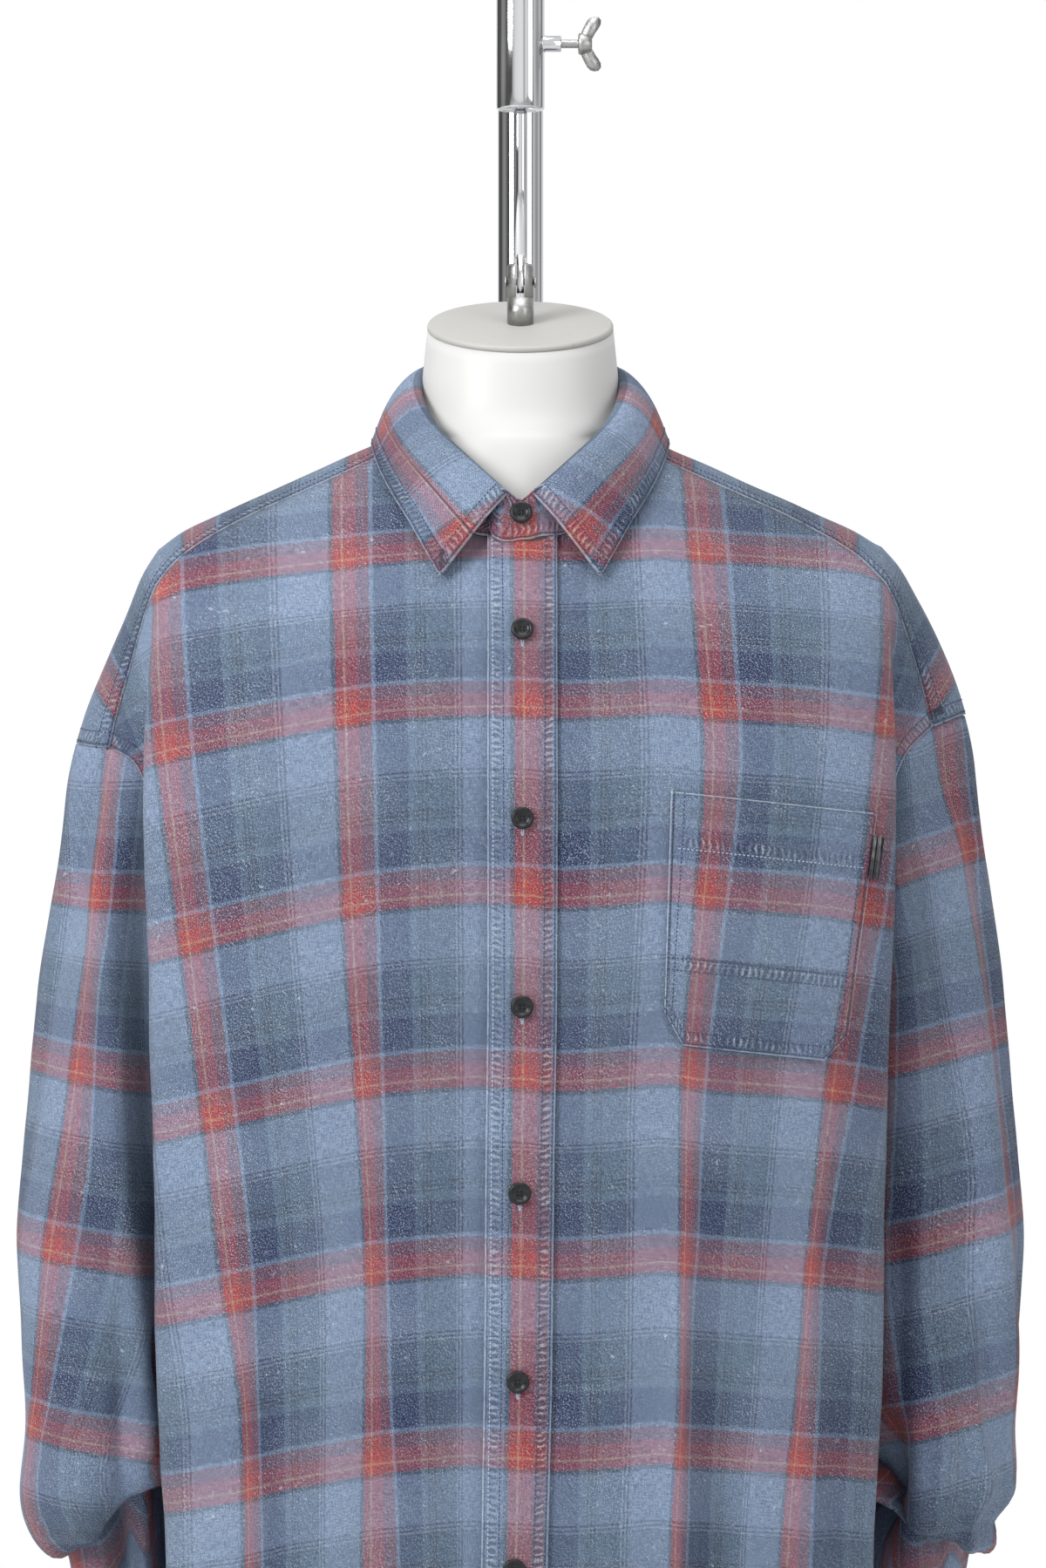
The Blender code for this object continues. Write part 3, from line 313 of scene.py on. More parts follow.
yarn_ways = []
for stretch in ((1.0, YARN_STRETCH, 1.0), (YARN_STRETCH, 1.0, 1.0)):
    slub = fed(washed, "ShaderNodeMapping", chart_place, "Vector")
    slub.inputs["Scale"].default_value = stretch
    yarn_ways.append(noise_texture(washed, slub.outputs[0], YARN_SCALE, 2.0))
yarns = math_node(washed, "ADD", *yarn_ways)
cloth = mix_colours(washed, span(yarns, 0.84, 1.16, 0.0, 0.48), cloth, DEEP)
cloth = mix_colours(washed, span(twill, -0.2, 1.0, 0.0, 0.26), cloth, DEEP)

# The wash: fine specks, larger flecks and clouds
twill_axes = fed(washed, "ShaderNodeCombineXYZ", rising, "X")
link(washed, times(math_node(washed, "ADD", along, across), 0.5), twill_axes.inputs["Y"])
specks = span(noise_texture(washed, twill_axes.outputs[0], 1350, 2.0, 0.85), 0.51, 0.68)
clouds = span(chart_noise(30, 4.0, 0.6), 0.36, 0.70)
specks = times(specks, times_plus(clouds, 0.36, 0.54))
flecks = span(chart_noise(260, 5.0, 0.62), 0.62, 0.70, 0.0, 0.70)
flecks = times(flecks, times_plus(clouds, 0.7, 0.3))
marks = times(math_node(washed, "MAXIMUM", specks, flecks), washed_in.outputs["Wash"])
cloth = mix_colours(washed, marks, cloth, PALE)
cloth = mix_colours(washed, span(chart_noise(11, 3.0), 0.30, 0.75, 0.0, 0.13), cloth, FADED)

# Seams: between the two rows of stitches the cloth stands up in short pale ridges, and its edge is rubbed.
# The dips between the ridges get painted shade, and a painted shadow lies just inside the edge.
seam_place = add_node(washed, "ShaderNodeAttribute", attribute_name="seam").outputs["Vector"]
seam_axes = fed(washed, "ShaderNodeSeparateXYZ", seam_place)
off_seam, along_seam = seam_axes.outputs["X"], seam_axes.outputs["Y"]
seam_wear = washed_in.outputs["Seam Wear"]
seam_wobble = seam_noise(150)
ridges = times(times_plus(off_seam, 0.15, along_seam), 2 * math.pi / PUCKER_PITCH)
ridges = math_node(washed, "SINE", math_node(washed, "ADD", ridges, times(seam_wobble, 10.0)))
zone = times(span(off_seam, 0.0062, 0.0084, 1.0, 0.0), span(off_seam, 0.0018, 0.0036))
zone = times(zone, seam_wear)
strong = span(seam_noise(60), 0.40, 0.62, 0.10, 1.0)
strong = times(strong, span(seam_noise(620), 0.35, 0.60, 0.45, 1.0))
pale_ridges = times(span(ridges, 0.15, 1.0), times(zone, strong))
# Painted shade: the dips between the ridges are darkened towards DEEP
painted_dip_shade = times(span(ridges, -0.9, 0.4, 1.0, 0.0), zone)
cloth = mix_colours(washed, times(painted_dip_shade, 0.34), cloth, DEEP)
cloth = mix_colours(washed, times(pale_ridges, 0.42), cloth, PALE)
edge = times(span(off_seam, 0.0003, 0.0008, 1.0, 0.0), span(seam_wobble, 0.25, 0.6, 0.10, 0.45))
cloth = mix_colours(washed, times(edge, seam_wear), cloth, PALE)
shadow = times(span(off_seam, 0.0008, 0.0011), span(off_seam, 0.0011, 0.0021, 0.45, 0.0))
cloth = mix_colours(washed, shadow, cloth, DEEP)

# Relief in millimetres
height = times_plus(yarns, 0.12, times(twill, 0.05))
height = times_plus(chart_noise(120, 4.0, 0.55), 0.55, height)
height = times_plus(times(ridges, zone), 0.22, height)
link(washed, cloth, washed_out.inputs["Color"])
link(washed, height, washed_out.inputs["Height"])
link(washed, span(marks, 0.0, 0.5, 0.82, 0.95), washed_out.inputs["Roughness"])


# %% Materials
def bumped(tree, shader, height, distance):
    bump = fed(tree, "ShaderNodeBump", height, "Height")
    bump.inputs["Distance"].default_value = distance
    link(tree, bump.outputs[0], shader.inputs["Normal"])


def cloth_material(name, wash, seam_wear):
    material, tree, shader = new_material(
        name, {"Sheen Weight": 0.08, "Sheen Roughness": 0.5, "Specular IOR Level": 0.25})
    group = add_node(tree, "ShaderNodeGroup", node_tree=washed)
    group.inputs["Wash"].default_value = wash
    group.inputs["Seam Wear"].default_value = seam_wear
    link(tree, group.outputs["Color"], shader.inputs["Base Color"])
    link(tree, group.outputs["Roughness"], shader.inputs["Roughness"])
    bumped(tree, shader, group.outputs["Height"], 0.001)
    return material


body_cloth = cloth_material("body_cloth", 1.0, 0.9)
trim_cloth = cloth_material("trim_cloth", 0.95, 1.0)
print("the cloth has two materials on one group")

# %% [markdown]
# ## How a panel is made
#
# Every panel is a grid of points. A function gives each point its place, and two more numbers go with it: its
# place on the chart, and its way to the nearest seam. The grid is fine enough to hold folds a few millimetres
# wide, and finer relief is left to the material. Solidify then gives the shell its wall.

# %% Curves and tables


def smooth(share):
    share = min(max(share, 0.0), 1.0)
    return share * share * (3 - 2 * share)


def mix(a, b, share):
    return a + (b - a) * share


def steps(first, last, count):
    return [mix(first, last, i / count) for i in range(count + 1)]


def hump(offset, half_width):
    """A soft ridge, 1 at its line and near 0 at twice its half width."""
    return math.exp(-(offset / half_width) ** 2)


def read_table(table, key):
    """The row at this key, which falls down the table's first column, as a smooth line through the rows."""
    low = 0
    while low < len(table) - 2 and key < table[low + 1][0]:
        low += 1
    k0, k1 = table[low][0], table[low + 1][0]
    share = min(max((key - k0) / (k1 - k0), 0.0), 1.0)
    before, after = table[max(low - 1, 0)], table[min(low + 2, len(table) - 1)]
    s2, s3 = share * share, share ** 3
    values = []
    for column in range(1, len(table[0])):
        a, b = table[low][column], table[low + 1][column]
        slope_a = (b - before[column]) / (k1 - before[0]) * (k1 - k0)
        slope_b = (after[column] - a) / (after[0] - k0) * (k1 - k0)
        values.append((2 * s3 - 3 * s2 + 1) * a + (s3 - 2 * s2 + share) * slope_a
                      + (3 * s2 - 2 * s3) * b + (s3 - s2) * slope_b)
    return values


def spline(points, place):
    """Catmull-Rom through the points; place runs from 0 to len(points) - 1."""
    i = min(int(place), len(points) - 2)
    s = place - i
    p1, p2 = points[i], points[i + 1]
    p0 = points[i - 1] if i else p1 * 2 - p2
    p3 = points[i + 2] if i + 2 < len(points) else p2 * 2 - p1
    return (p1 * 2 + (p2 - p0) * s + (p0 * 2 - p1 * 5 + p2 * 4 - p3) * (s * s)
            + (p1 * 3 - p0 - p2 * 3 + p3) * (s ** 3)) * 0.5


class Route:
    """A smooth line through a few points, read by its share of the length."""

    def __init__(self, points, per_piece=16):
        points = [Vector(p) for p in points]
        count = (len(points) - 1) * per_piece
        self.points = [spline(points, i / per_piece) for i in range(count + 1)]
        self.lengths = [0.0]
        for a, b in zip(self.points, self.points[1:]):
            self.lengths.append(self.lengths[-1] + (b - a).length)

    def at(self, share):
        wanted = min(max(share, 0.0), 1.0) * self.lengths[-1]
        i = 0
        while i < len(self.lengths) - 2 and self.lengths[i + 1] < wanted:
            i += 1
        span = self.lengths[i + 1] - self.lengths[i]
        return self.points[i].lerp(self.points[i + 1], (wanted - self.lengths[i]) / span)


def along_table(pairs, key):
    """A straight line through (key, value) pairs, carried on at both ends."""
    i = 0
    while i < len(pairs) - 2 and key > pairs[i + 1][0]:
        i += 1
    (k0, v0), (k1, v1) = pairs[i], pairs[i + 1]
    return mix(v0, v1, (key - k0) / (k1 - k0))


# %% From a grid of points to a shell
CLOTH_WALL = 0.0013
FAR_FROM_SEAMS = 0.5


def grid_normals(rows, wrap=False):
    """Normals of a grid whose rows run up and whose columns run to +X at the front."""
    out = []
    last_row = len(rows) - 1
    for r, row in enumerate(rows):
        line = []
        wide = len(row)
        for c in range(wide):
            up = rows[min(r + 1, last_row)][c] - rows[max(r - 1, 0)][c]
            if wrap:
                side = row[(c + 1) % wide] - row[c - 1]
            else:
                side = row[min(c + 1, wide - 1)] - row[max(c - 1, 0)]
            line.append(side.cross(up).normalized())
        out.append(line)
    return out


def moved_out(rows, distance, wrap=False):
    """The grid moved along its normals, by a number or by a grid of numbers."""
    out = []
    for r, (row, normals) in enumerate(zip(rows, grid_normals(rows, wrap))):
        amounts = distance[r] if isinstance(distance, list) else [distance] * len(row)
        out.append([p + n * d for p, n, d in zip(row, normals, amounts)])
    return out


def seam_ways(rows, edges):
    """For each point its way to the nearest of the named edges, as (how far off, how far along)."""
    tall, wide = len(rows), len(rows[0])
    across_ways = [[0.0] * wide for _ in rows]
    up_ways = [[0.0] * wide for _ in rows]
    for r in range(tall):
        for c in range(1, wide):
            across_ways[r][c] = across_ways[r][c - 1] + (rows[r][c] - rows[r][c - 1]).length
    for c in range(wide):
        for r in range(1, tall):
            up_ways[r][c] = up_ways[r - 1][c] + (rows[r][c] - rows[r - 1][c]).length
    out = []
    for r in range(tall):
        line = []
        for c in range(wide):
            ways = {
                "first": (across_ways[r][c], up_ways[r][c]),
                "last": (across_ways[r][-1] - across_ways[r][c], up_ways[r][c]),
                "bottom": (up_ways[r][c], across_ways[r][c]),
                "top": (up_ways[-1][c] - up_ways[r][c], across_ways[r][c]),
            }
            line.append(min([ways[edge] for edge in edges], default=(FAR_FROM_SEAMS, 0.0)))
        out.append(line)
    return out


def add_shell(name, rows, chart_places, seams, material, wrap=False, wall=CLOTH_WALL):
    """A thin shell through a grid, with its UV map "chart" and its attribute "seam"."""
    mesh = bpy.data.meshes.new(name)
    tall, wide = len(rows), len(rows[0])
    faces, corners = [], []
    for r in range(tall - 1):
        for c in range(wide if wrap else wide - 1):
            after = (c + 1) % wide
            here, there = r * wide + c, r * wide + after
            faces.append((here, there, there + wide, here + wide))
            corners += [(r, c), (r, c + 1), (r + 1, c + 1), (r + 1, c)]
    mesh.from_pydata([tuple(p + LIFT) for row in rows for p in row], [], faces)
    layer = mesh.uv_layers.new(name="chart")
    for loop, (r, c) in zip(layer.data, corners):
        loop.uv = chart_places[r][c]
    attribute = mesh.attributes.new("seam", "FLOAT_VECTOR", "POINT")
    flat = [value for line in seams for off, on in line for value in (off, on, 0.0)]
    attribute.data.foreach_set("vector", flat)
    mesh.materials.append(material)
    mesh.shade_smooth()
    piece = into_scene(name, mesh)
    solidify = piece.modifiers.new("Wall", "SOLIDIFY")
    solidify.thickness = wall
    solidify.offset = 0
    return piece


def surface_area(piece):
    return sum(face.area for face in piece.data.polygons)


def unevenness(point):
    """Soft rises and dips that hanging cloth has everywhere, the same for all the layers at one place."""
    wide = noise.noise(point * 11 + Vector((3.1, 0.4, 7.7)))
    small = noise.noise(point * 34 + Vector((1.7, 5.2, 0.9)))
    return 0.0014 * wide + 0.0005 * small


# %% [markdown]
# ## The torso of the shirt
#
# Seen from above, the body is a flat oval: nearly flat over the chest and the back, and turned sharply at a
# fold on each side, from where the cloth goes back into the body and meets the side seam. The depth of that
# oval is a table by height. The shoulders round down from a slanted ridge, and long folds hang from them.

# %% Sizes of the torso
NECK_X, NECK_Y, NECK_MIDDLE_Y = 0.064, 0.077, -0.012
NECK_SEAM_TURN, BAND_LAP = 0.5685, 0.0085
SHOULDER_Z, SHOULDER_FALL, SHOULDER_ROUND, SHOULDER_X = 0.212, 0.4535, 0.14, 0.19
FOLD_SHARE, UNDERARM_SHARE = 0.72, 0.55
HEM_MIDDLE_FRONT, HEM_MIDDLE_BACK, HEM_SIDE = -0.546, -0.560, -0.505
BACK_SEAM_Z, BACK_SEAM_DROP = 0.085, 0.010
TIP_X, TIP_Z, TIP_LIFT, CORNER_DROP, HEAD_IN = 0.2355, 0.0290, 0.0075, 0.0026, 0.0065
UNDERARM = Vector((0.160, 0.010, -0.205))
LAYER, POCKET_LAYER, UNDER_LAYER = 0.0018, 0.0025, 0.0026
FRONT_SECTIONS = (  # z, half width at the fold edge, depth at the middle, depth at the fold edge
    (0.200, 0.1900, 0.0950, 0.0720),
    (0.120, 0.1900, 0.0950, 0.0720),
    (0.050, 0.1925, 0.1110, 0.0730),
    (0.000, 0.1930, 0.1190, 0.0740),
    (-0.100, 0.1905, 0.1250, 0.0730),
    (-0.200, 0.1880, 0.1260, 0.0720),
    (-0.300, 0.1860, 0.1260, 0.0710),
    (-0.400, 0.1820, 0.1255, 0.0700),
    (-0.560, 0.1770, 0.1250, 0.0690),
)
BACK_SECTIONS = (
    (0.200, 0.1900, 0.1150, 0.0760),
    (0.120, 0.1900, 0.1150, 0.0760),
    (0.050, 0.1860, 0.1180, 0.0840),
    (0.000, 0.1820, 0.1210, 0.0870),
    (-0.100, 0.1780, 0.1270, 0.0880),
    (-0.200, 0.1770, 0.1290, 0.0880),
    (-0.300, 0.1770, 0.1300, 0.0870),
    (-0.400, 0.1780, 0.1310, 0.0860),
    (-0.560, 0.1790, 0.1320, 0.0850),
)
ARMHOLE_FRONT = (
    (0.197, -0.052, 0.008), (0.183, -0.050, -0.040), (0.173, -0.036, -0.100), (0.165, -0.012, -0.165))
ARMHOLE_BACK = (
    (0.197, 0.064, 0.004), (0.182, 0.070, -0.050), (0.171, 0.058, -0.120), (0.164, 0.036, -0.180))
SIDE_SEAM = ((0.163, 0.010, -0.300), (0.161, 0.010, -0.400), (0.157, 0.010, HEM_SIDE))
YOKE_FRONT_END = Vector((0.2155, -0.030, 0.024))
YOKE_BACK_END = Vector((0.2155, 0.045, 0.030))
# side, x at the top, x at the hem, z where the fold starts, half width, rise or sink
BODY_FOLDS = (
    (1, 0.086, 0.080, -0.130, 0.011, 0.0075),
    (1, 0.101, 0.097, -0.130, 0.015, -0.0070),
    (1, 0.154, 0.146, -0.110, 0.011, 0.0065),
    (1, 0.168, 0.162, -0.110, 0.012, -0.0050),
    (-1, 0.150, 0.128, -0.100, 0.012, 0.0070),
    (-1, 0.136, 0.112, -0.120, 0.016, -0.0065),
    (-1, 0.034, 0.032, -0.170, 0.014, -0.0040),
)
BACK_FOLDS = (
    (1, 0.060, 0.075, 0.020, 0.030, 0.0080),
    (1, 0.120, 0.128, 0.000, 0.024, -0.0070),
    (-1, 0.055, 0.064, 0.010, 0.028, 0.0075),
    (-1, 0.112, 0.124, 0.000, 0.024, -0.0080),
)
# Sharper creases on top of those folds: the same columns
FINE_FRONT_FOLDS = (
    (1, 0.0835, 0.0795, -0.160, 0.0045, 0.0032),
    (1, 0.0910, 0.0880, -0.160, 0.0060, -0.0022),
    (1, 0.1515, 0.1450, -0.150, 0.0045, 0.0026),
    (1, 0.1600, 0.1530, -0.150, 0.0060, -0.0018),
    (-1, 0.1440, 0.1330, -0.150, 0.0050, -0.0026),
    (-1, 0.1520, 0.1420, -0.150, 0.0060, 0.0020),
    (-1, 0.0700, 0.0820, -0.200, 0.0070, -0.0016),
)
FINE_BACK_FOLDS = (
    (1, 0.0300, 0.0420, -0.040, 0.0080, 0.0022),
    (1, 0.0950, 0.1050, -0.060, 0.0060, 0.0020),
    (-1, 0.0240, 0.0330, -0.050, 0.0070, -0.0022),
    (-1, 0.0860, 0.0980, -0.020, 0.0070, 0.0024),
    (-1, 0.1400, 0.1480, -0.080, 0.0060, 0.0020),
)

# %% Surfaces of the torso


def ridge_z(x):
    return SHOULDER_Z - SHOULDER_FALL * abs(x)


def rounding(drop):
    """Share of the full depth, this far below the shoulder line."""
    share = 1 - min(max(drop, 0.0) / SHOULDER_ROUND, 1.0)
    return math.sqrt(1 - share * share)


def fold_rise(folds, x, z, side):
    rise = 0.0
    for fold_side, x_top, x_hem, z_top, half_width, height in folds:
        if fold_side != side or z > z_top:
            continue
        down = (z_top - z) / (z_top - HEM_MIDDLE_BACK)
        rise += height * smooth(down * 1.6) * hump(x - mix(x_top, x_hem, down), half_width)
    return rise


def torso_y(x, z, side, front):
    """Depth of the cloth over the torso, for x up to the fold edge."""
    half, middle, edge = read_table(FRONT_SECTIONS if front else BACK_SECTIONS, z)
    across_share = min(abs(x) / half, 1.0)
    depth = edge + (middle - edge) * math.sqrt(1 - across_share ** 2.5)
    depth = depth * rounding(ridge_z(x) - z) + fold_rise(BODY_FOLDS if front else BACK_FOLDS, x, z, side)
    return -depth if front else depth


def torso_top(x, y):
    """Height of the cloth over the shoulder at this x and y."""
    _, middle, edge = read_table(FRONT_SECTIONS if y < 0 else BACK_SECTIONS, 0.15)
    depth = edge + (middle - edge) * math.sqrt(1 - min(abs(x) / SHOULDER_X, 1.0) ** 2.5)
    return ridge_z(x) - SHOULDER_ROUND * (1 - math.sqrt(1 - min(abs(y) / depth, 1.0) ** 2))


def neckline(turn):
    angle = math.pi * turn
    x, y = NECK_X * math.sin(angle), NECK_MIDDLE_Y + NECK_Y * math.cos(angle)
    return Vector((x, y, torso_top(x, y)))


def front_seam_z(x):
    share = (x - NECK_X) / (SHOULDER_X - NECK_X)
    return ridge_z(x) - 0.009 - 0.011 * max(share, 0.0) ** 6


def front_top_z(x):
    x = abs(x)
    if x > NECK_X - 0.0012:
        return front_seam_z(x)
    under_the_band = BAND_LAP * smooth((0.034 - x) / 0.016)
    return neckline(1 - math.asin(x / NECK_X) / math.pi).z + under_the_band


def back_seam_z(x):
    return BACK_SEAM_Z - BACK_SEAM_DROP * (abs(x) / SHOULDER_X) ** 3


def shoulder_section(x, w):
    """Over the shoulder at x: w is -1 at the front seam, 0 on the shoulder line, 1 at the back seam."""
    drop = ridge_z(x) - (front_seam_z(x) if w < 0 else back_seam_z(x))
    angle = math.acos(1 - drop / SHOULDER_ROUND) * abs(w)
    z = ridge_z(x) - SHOULDER_ROUND * (1 - math.cos(angle))
    return Vector((x, torso_y(x, z, 0, w < 0), z))


def sleeve_head(q, w):
    """The dropped shoulder: q is 0 where the shoulder turns down, 1 at the armhole seam."""
    start = shoulder_section(SHOULDER_X, w)
    tip = Vector((TIP_X, 0.0, TIP_Z))
    end = YOKE_FRONT_END if w < 0 else YOKE_BACK_END
    angle = abs(w) * math.pi / 2
    over = math.cos(angle)
    last = Vector((mix(end.x, tip.x, over), end.y * math.sin(angle), mix(end.z, tip.z, over)))
    swell = 4 * q * (1 - q) * math.cos(w * 0.9)
    return start.lerp(last, q) + Vector((0.0065 * swell, 0, 0.0035 * swell))


ROUTES = {
    "side": Route((UNDERARM,) + SIDE_SEAM),
    "armhole_front": Route((YOKE_FRONT_END,) + ARMHOLE_FRONT + (UNDERARM,)),
    "armhole_back": Route((YOKE_BACK_END,) + ARMHOLE_BACK + (UNDERARM,)),
}


def side_edge(t, front):
    route = ROUTES["side"] if t < UNDERARM_SHARE else ROUTES["armhole_front" if front else "armhole_back"]
    if t < UNDERARM_SHARE:
        return route.at(1 - t / UNDERARM_SHARE)
    return route.at((1 - t) / (1 - UNDERARM_SHARE))


TOP_BLEND = 0.97


def body_point(s, t, side, front):
    """A point of a front or back: s runs from the middle, 0, to the side edge, 1, and t from the hem up."""
    if s > FOLD_SHARE and t > TOP_BLEND:
        q = (s - FOLD_SHARE) / (1 - FOLD_SHARE)
        below = body_point(s, TOP_BLEND, side, front)
        return below.lerp(sleeve_head(q, -1 if front else 1), (t - TOP_BLEND) / (1 - TOP_BLEND))
    sections = FRONT_SECTIONS if front else BACK_SECTIONS
    hem_middle = HEM_MIDDLE_FRONT if front else HEM_MIDDLE_BACK
    hem = mix(hem_middle, HEM_SIDE + 0.006, smooth((s / FOLD_SHARE - 0.35) / 0.65))

    def to_fold(share):
        place = math.sin(share * math.pi / 2)
        top = front_top_z(place * SHOULDER_X) if front else back_seam_z(place * SHOULDER_X)
        z = mix(hem, top, t)
        x = place * read_table(sections, z)[0]
        return Vector((x, torso_y(x, z, side, front), z))

    if s <= FOLD_SHARE:
        return to_fold(s / FOLD_SHARE)
    fold, edge = to_fold(1.0), side_edge(t, front)
    sunk = (fold + edge) / 2 + Vector((-0.007 * smooth(t * 6 + 0.3), 0, 0))
    valley = sunk.lerp(sleeve_head(0.5, -1 if front else 1), smooth((t - 0.93) / 0.07))
    return spline([to_fold(0.93), fold, valley, edge], 1 + 2 * (s - FOLD_SHARE) / (1 - FOLD_SHARE))


def lifted(point, side):
    """The two shoulders hang a little differently, so the armhole's top is higher on one side."""
    share = smooth((point.x - 0.180) / (TIP_X - 0.180)) * smooth((point.z + 0.16) / 0.16)
    drawn_in = HEAD_IN * hump(point.z - 0.082, 0.050) * smooth((point.x - 0.180) / 0.035)
    softened = CORNER_DROP * hump(point.x - SHOULDER_X, 0.010) * smooth((point.z - 0.07) / 0.04)
    return Vector(((point.x - drawn_in) * side, point.y, point.z + TIP_LIFT * side * share - softened))


def column_share(x):
    """The share s of a body section whose line reaches the top at this x."""
    return math.asin(x / SHOULDER_X) * 2 / math.pi * FOLD_SHARE


# %% [markdown]
#
# Cloth that hangs from the shoulders doesn't keep its stripes straight. Towards the hem the long folds
# swallow some of the width, so the upright stripes lean towards the middle, and the level ones droop to the
# sides.
# The tables say where the edges of the red stripes stand at each height, and the chart's places between them
# follow. Past the fold at each side, the chart goes on by the cloth's own length.

# %% Where the stripes stand on the fronts
# z, then x in millimetres where the chart reads 90.25, 109.25, 185.25 and 204.25 mm, for the wearer's left
STRIPES_LEFT = (
    (0.200, 83.0, 101.5, 194.0, 211.0),
    (0.130, 86.4, 104.9, 190.0, 207.0),
    (0.070, 90.2, 108.0, 187.0, 204.5),
    (0.010, 93.6, 110.8, 180.2, 197.2),
    (-0.080, 87.2, 100.5, 168.0, 182.0),
    (-0.150, 82.2, 92.6, 156.0, 170.0),
    (-0.240, 81.4, 87.6, 146.0, 153.2),
    (-0.310, 80.6, 84.8, 140.4, 149.4),
    (-0.384, 77.5, 82.4, 132.6, 146.5),
    (-0.560, 74.0, 80.0, 127.0, 142.0),
)
LEFT_KEYS = (0.09025, 0.10925, 0.18525, 0.20425)
# the same for the wearer's right, where the chart reads -80.75, -99.75, -175.75 and -194.75 mm
STRIPES_RIGHT = (
    (0.200, 79.5, 98.0, 180.0, 198.0),
    (0.130, 78.2, 96.8, 177.5, 195.5),
    (0.035, 75.2, 93.0, 169.6, 187.9),
    (-0.080, 72.5, 88.4, 155.7, 172.9),
    (-0.155, 70.3, 82.7, 146.8, 163.2),
    (-0.242, 68.1, 77.6, 137.1, 152.6),
    (-0.313, 66.0, 78.0, 134.0, 141.4),
    (-0.384, 62.3, 79.6, 132.0, 139.5),
    (-0.560, 60.0, 80.0, 129.0, 138.0),
)
RIGHT_KEYS = (0.08075, 0.09975, 0.17575, 0.19475)
YELLOW_X = 0.0018  # x of the yellow thread down the placket at the top
YELLOW_PLACE = 0.00475  # its place on the chart
LEAN = ((0.20, 0.0), (-0.10, 0.0), (-0.20, -0.0012), (-0.30, -0.0022), (-0.40, -0.0040), (-0.56, -0.0060))
# z and the chart's upward place in metres, down the middle of the front
UP_THE_FRONT = (
    (0.215, 0.3050),
    (0.123, 0.1900),
    (0.0438, 0.0950),
    (-0.0508, 0.0),
    (-0.1432, -0.0950),
    (-0.2378, -0.1900),
    (-0.3346, -0.2850),
    (-0.4316, -0.3800),
    (-0.5266, -0.4750),
    (-0.6000, -0.5484),
)
BAND_MIDDLE = 0.0095  # the level band's middle stands this far up from the chart's start
# x and how far the level stripes hang down there, for each side
DROOP = {
    1: ((0.215, 0.0205), (0.1835, 0.0128), (0.153, 0.0072), (0.0935, 0.0018), (0.073, -0.0010),
        (0.045, 0.0013), (0.0185, 0.0024), (0.0, 0.0008), (-0.03, 0.0008)),
    -1: ((0.215, 0.0380), (0.187, 0.0310), (0.1445, 0.0200), (0.081, 0.0057), (0.050, 0.0018), (0.0195, 0.0),
         (0.0, 0.0008), (-0.03, 0.0008)),
}


def lean(z):
    """How far the placket has swung to the wearer's right at this height."""
    return read_table(LEAN, z)[0]


def chart_across(x, z, side):
    """The chart's place across a front at x (outward) and z."""
    rows, keys = (STRIPES_LEFT, LEFT_KEYS) if side > 0 else (STRIPES_RIGHT, RIGHT_KEYS)
    yellow = (YELLOW_X + lean(z)) * side
    pairs = [(yellow - 0.020, -0.020), (yellow, 0.0), (yellow + 0.0165, 0.0165)]
    pairs += [(mm / 1000, key) for mm, key in zip(read_table(rows, z), keys)]
    pairs.append((pairs[-1][0] + 0.05, pairs[-1][1] + 0.05))
    return along_table(pairs, x) * side + YELLOW_PLACE


def chart_up(x, z, side):
    """The chart's place up the body at x (outward) and z."""
    hang = read_table(DROOP[side], x)[0] * mix(1.0, 0.5, smooth((z + 0.10) / 0.25))
    return read_table(UP_THE_FRONT, z + hang)[0] + BAND_MIDDLE


# %% Fronts
PLACKET_LEFT, PLACKET_RIGHT = -0.0165, 0.0185
PLACKET_MIDDLE = (PLACKET_LEFT + PLACKET_RIGHT) / 2
ROWS_UP = 190
OUT_STEP = 0.0032


def front_shares(first):
    """Column shares across a front, about OUT_STEP apart, from x = first to the side edge."""
    to_fold = steps(first, SHOULDER_X, round((SHOULDER_X - first) / OUT_STEP))
    shares = [column_share(min(x, SHOULDER_X)) for x in to_fold]
    # The cloth behind the fold edge has its own columns, down to the side edge
    return shares + steps(FOLD_SHARE, 1, 30)[1:]


def swung(point, side):
    """The front's inner edge swings with the placket, and the rest of it stays."""
    share = 1 - smooth((point.x - PLACKET_RIGHT) / 0.030)
    return Vector((point.x + lean(point.z) * side * share, point.y, point.z))


def build_front(shares, side):
    """Grid and chart places of a front, from its first column outwards, before it is mirrored."""
    grid, places = [], []
    for t in steps(0, 1, ROWS_UP):
        line, line_places = [], []
        for s in shares:
            point = swung(body_point(s, t, side, True), side)
            if s <= FOLD_SHARE:
                point.y -= fold_rise(FINE_FRONT_FOLDS, point.x, point.z, side)
                place = (chart_across(point.x, point.z, side), chart_up(point.x, point.z, side))
                folded_at = 0.0
            else:
                folded_at += (point - line[-1]).length
                place = (line_places[-1][0] + side * (point - line[-1]).length,
                         chart_up(SHOULDER_X, point.z, side) + folded_at * 0.18)
            line.append(point)
            line_places.append(place)
        grid.append(line)
        places.append(line_places)
    return grid, places


def uneven(rows, wrap=False):
    return moved_out(rows, [[unevenness(p) for p in row] for row in rows], wrap)


def mirrored(rows):
    """Columns turned round, for a side whose +X end is its middle."""
    return [row[::-1] for row in rows]


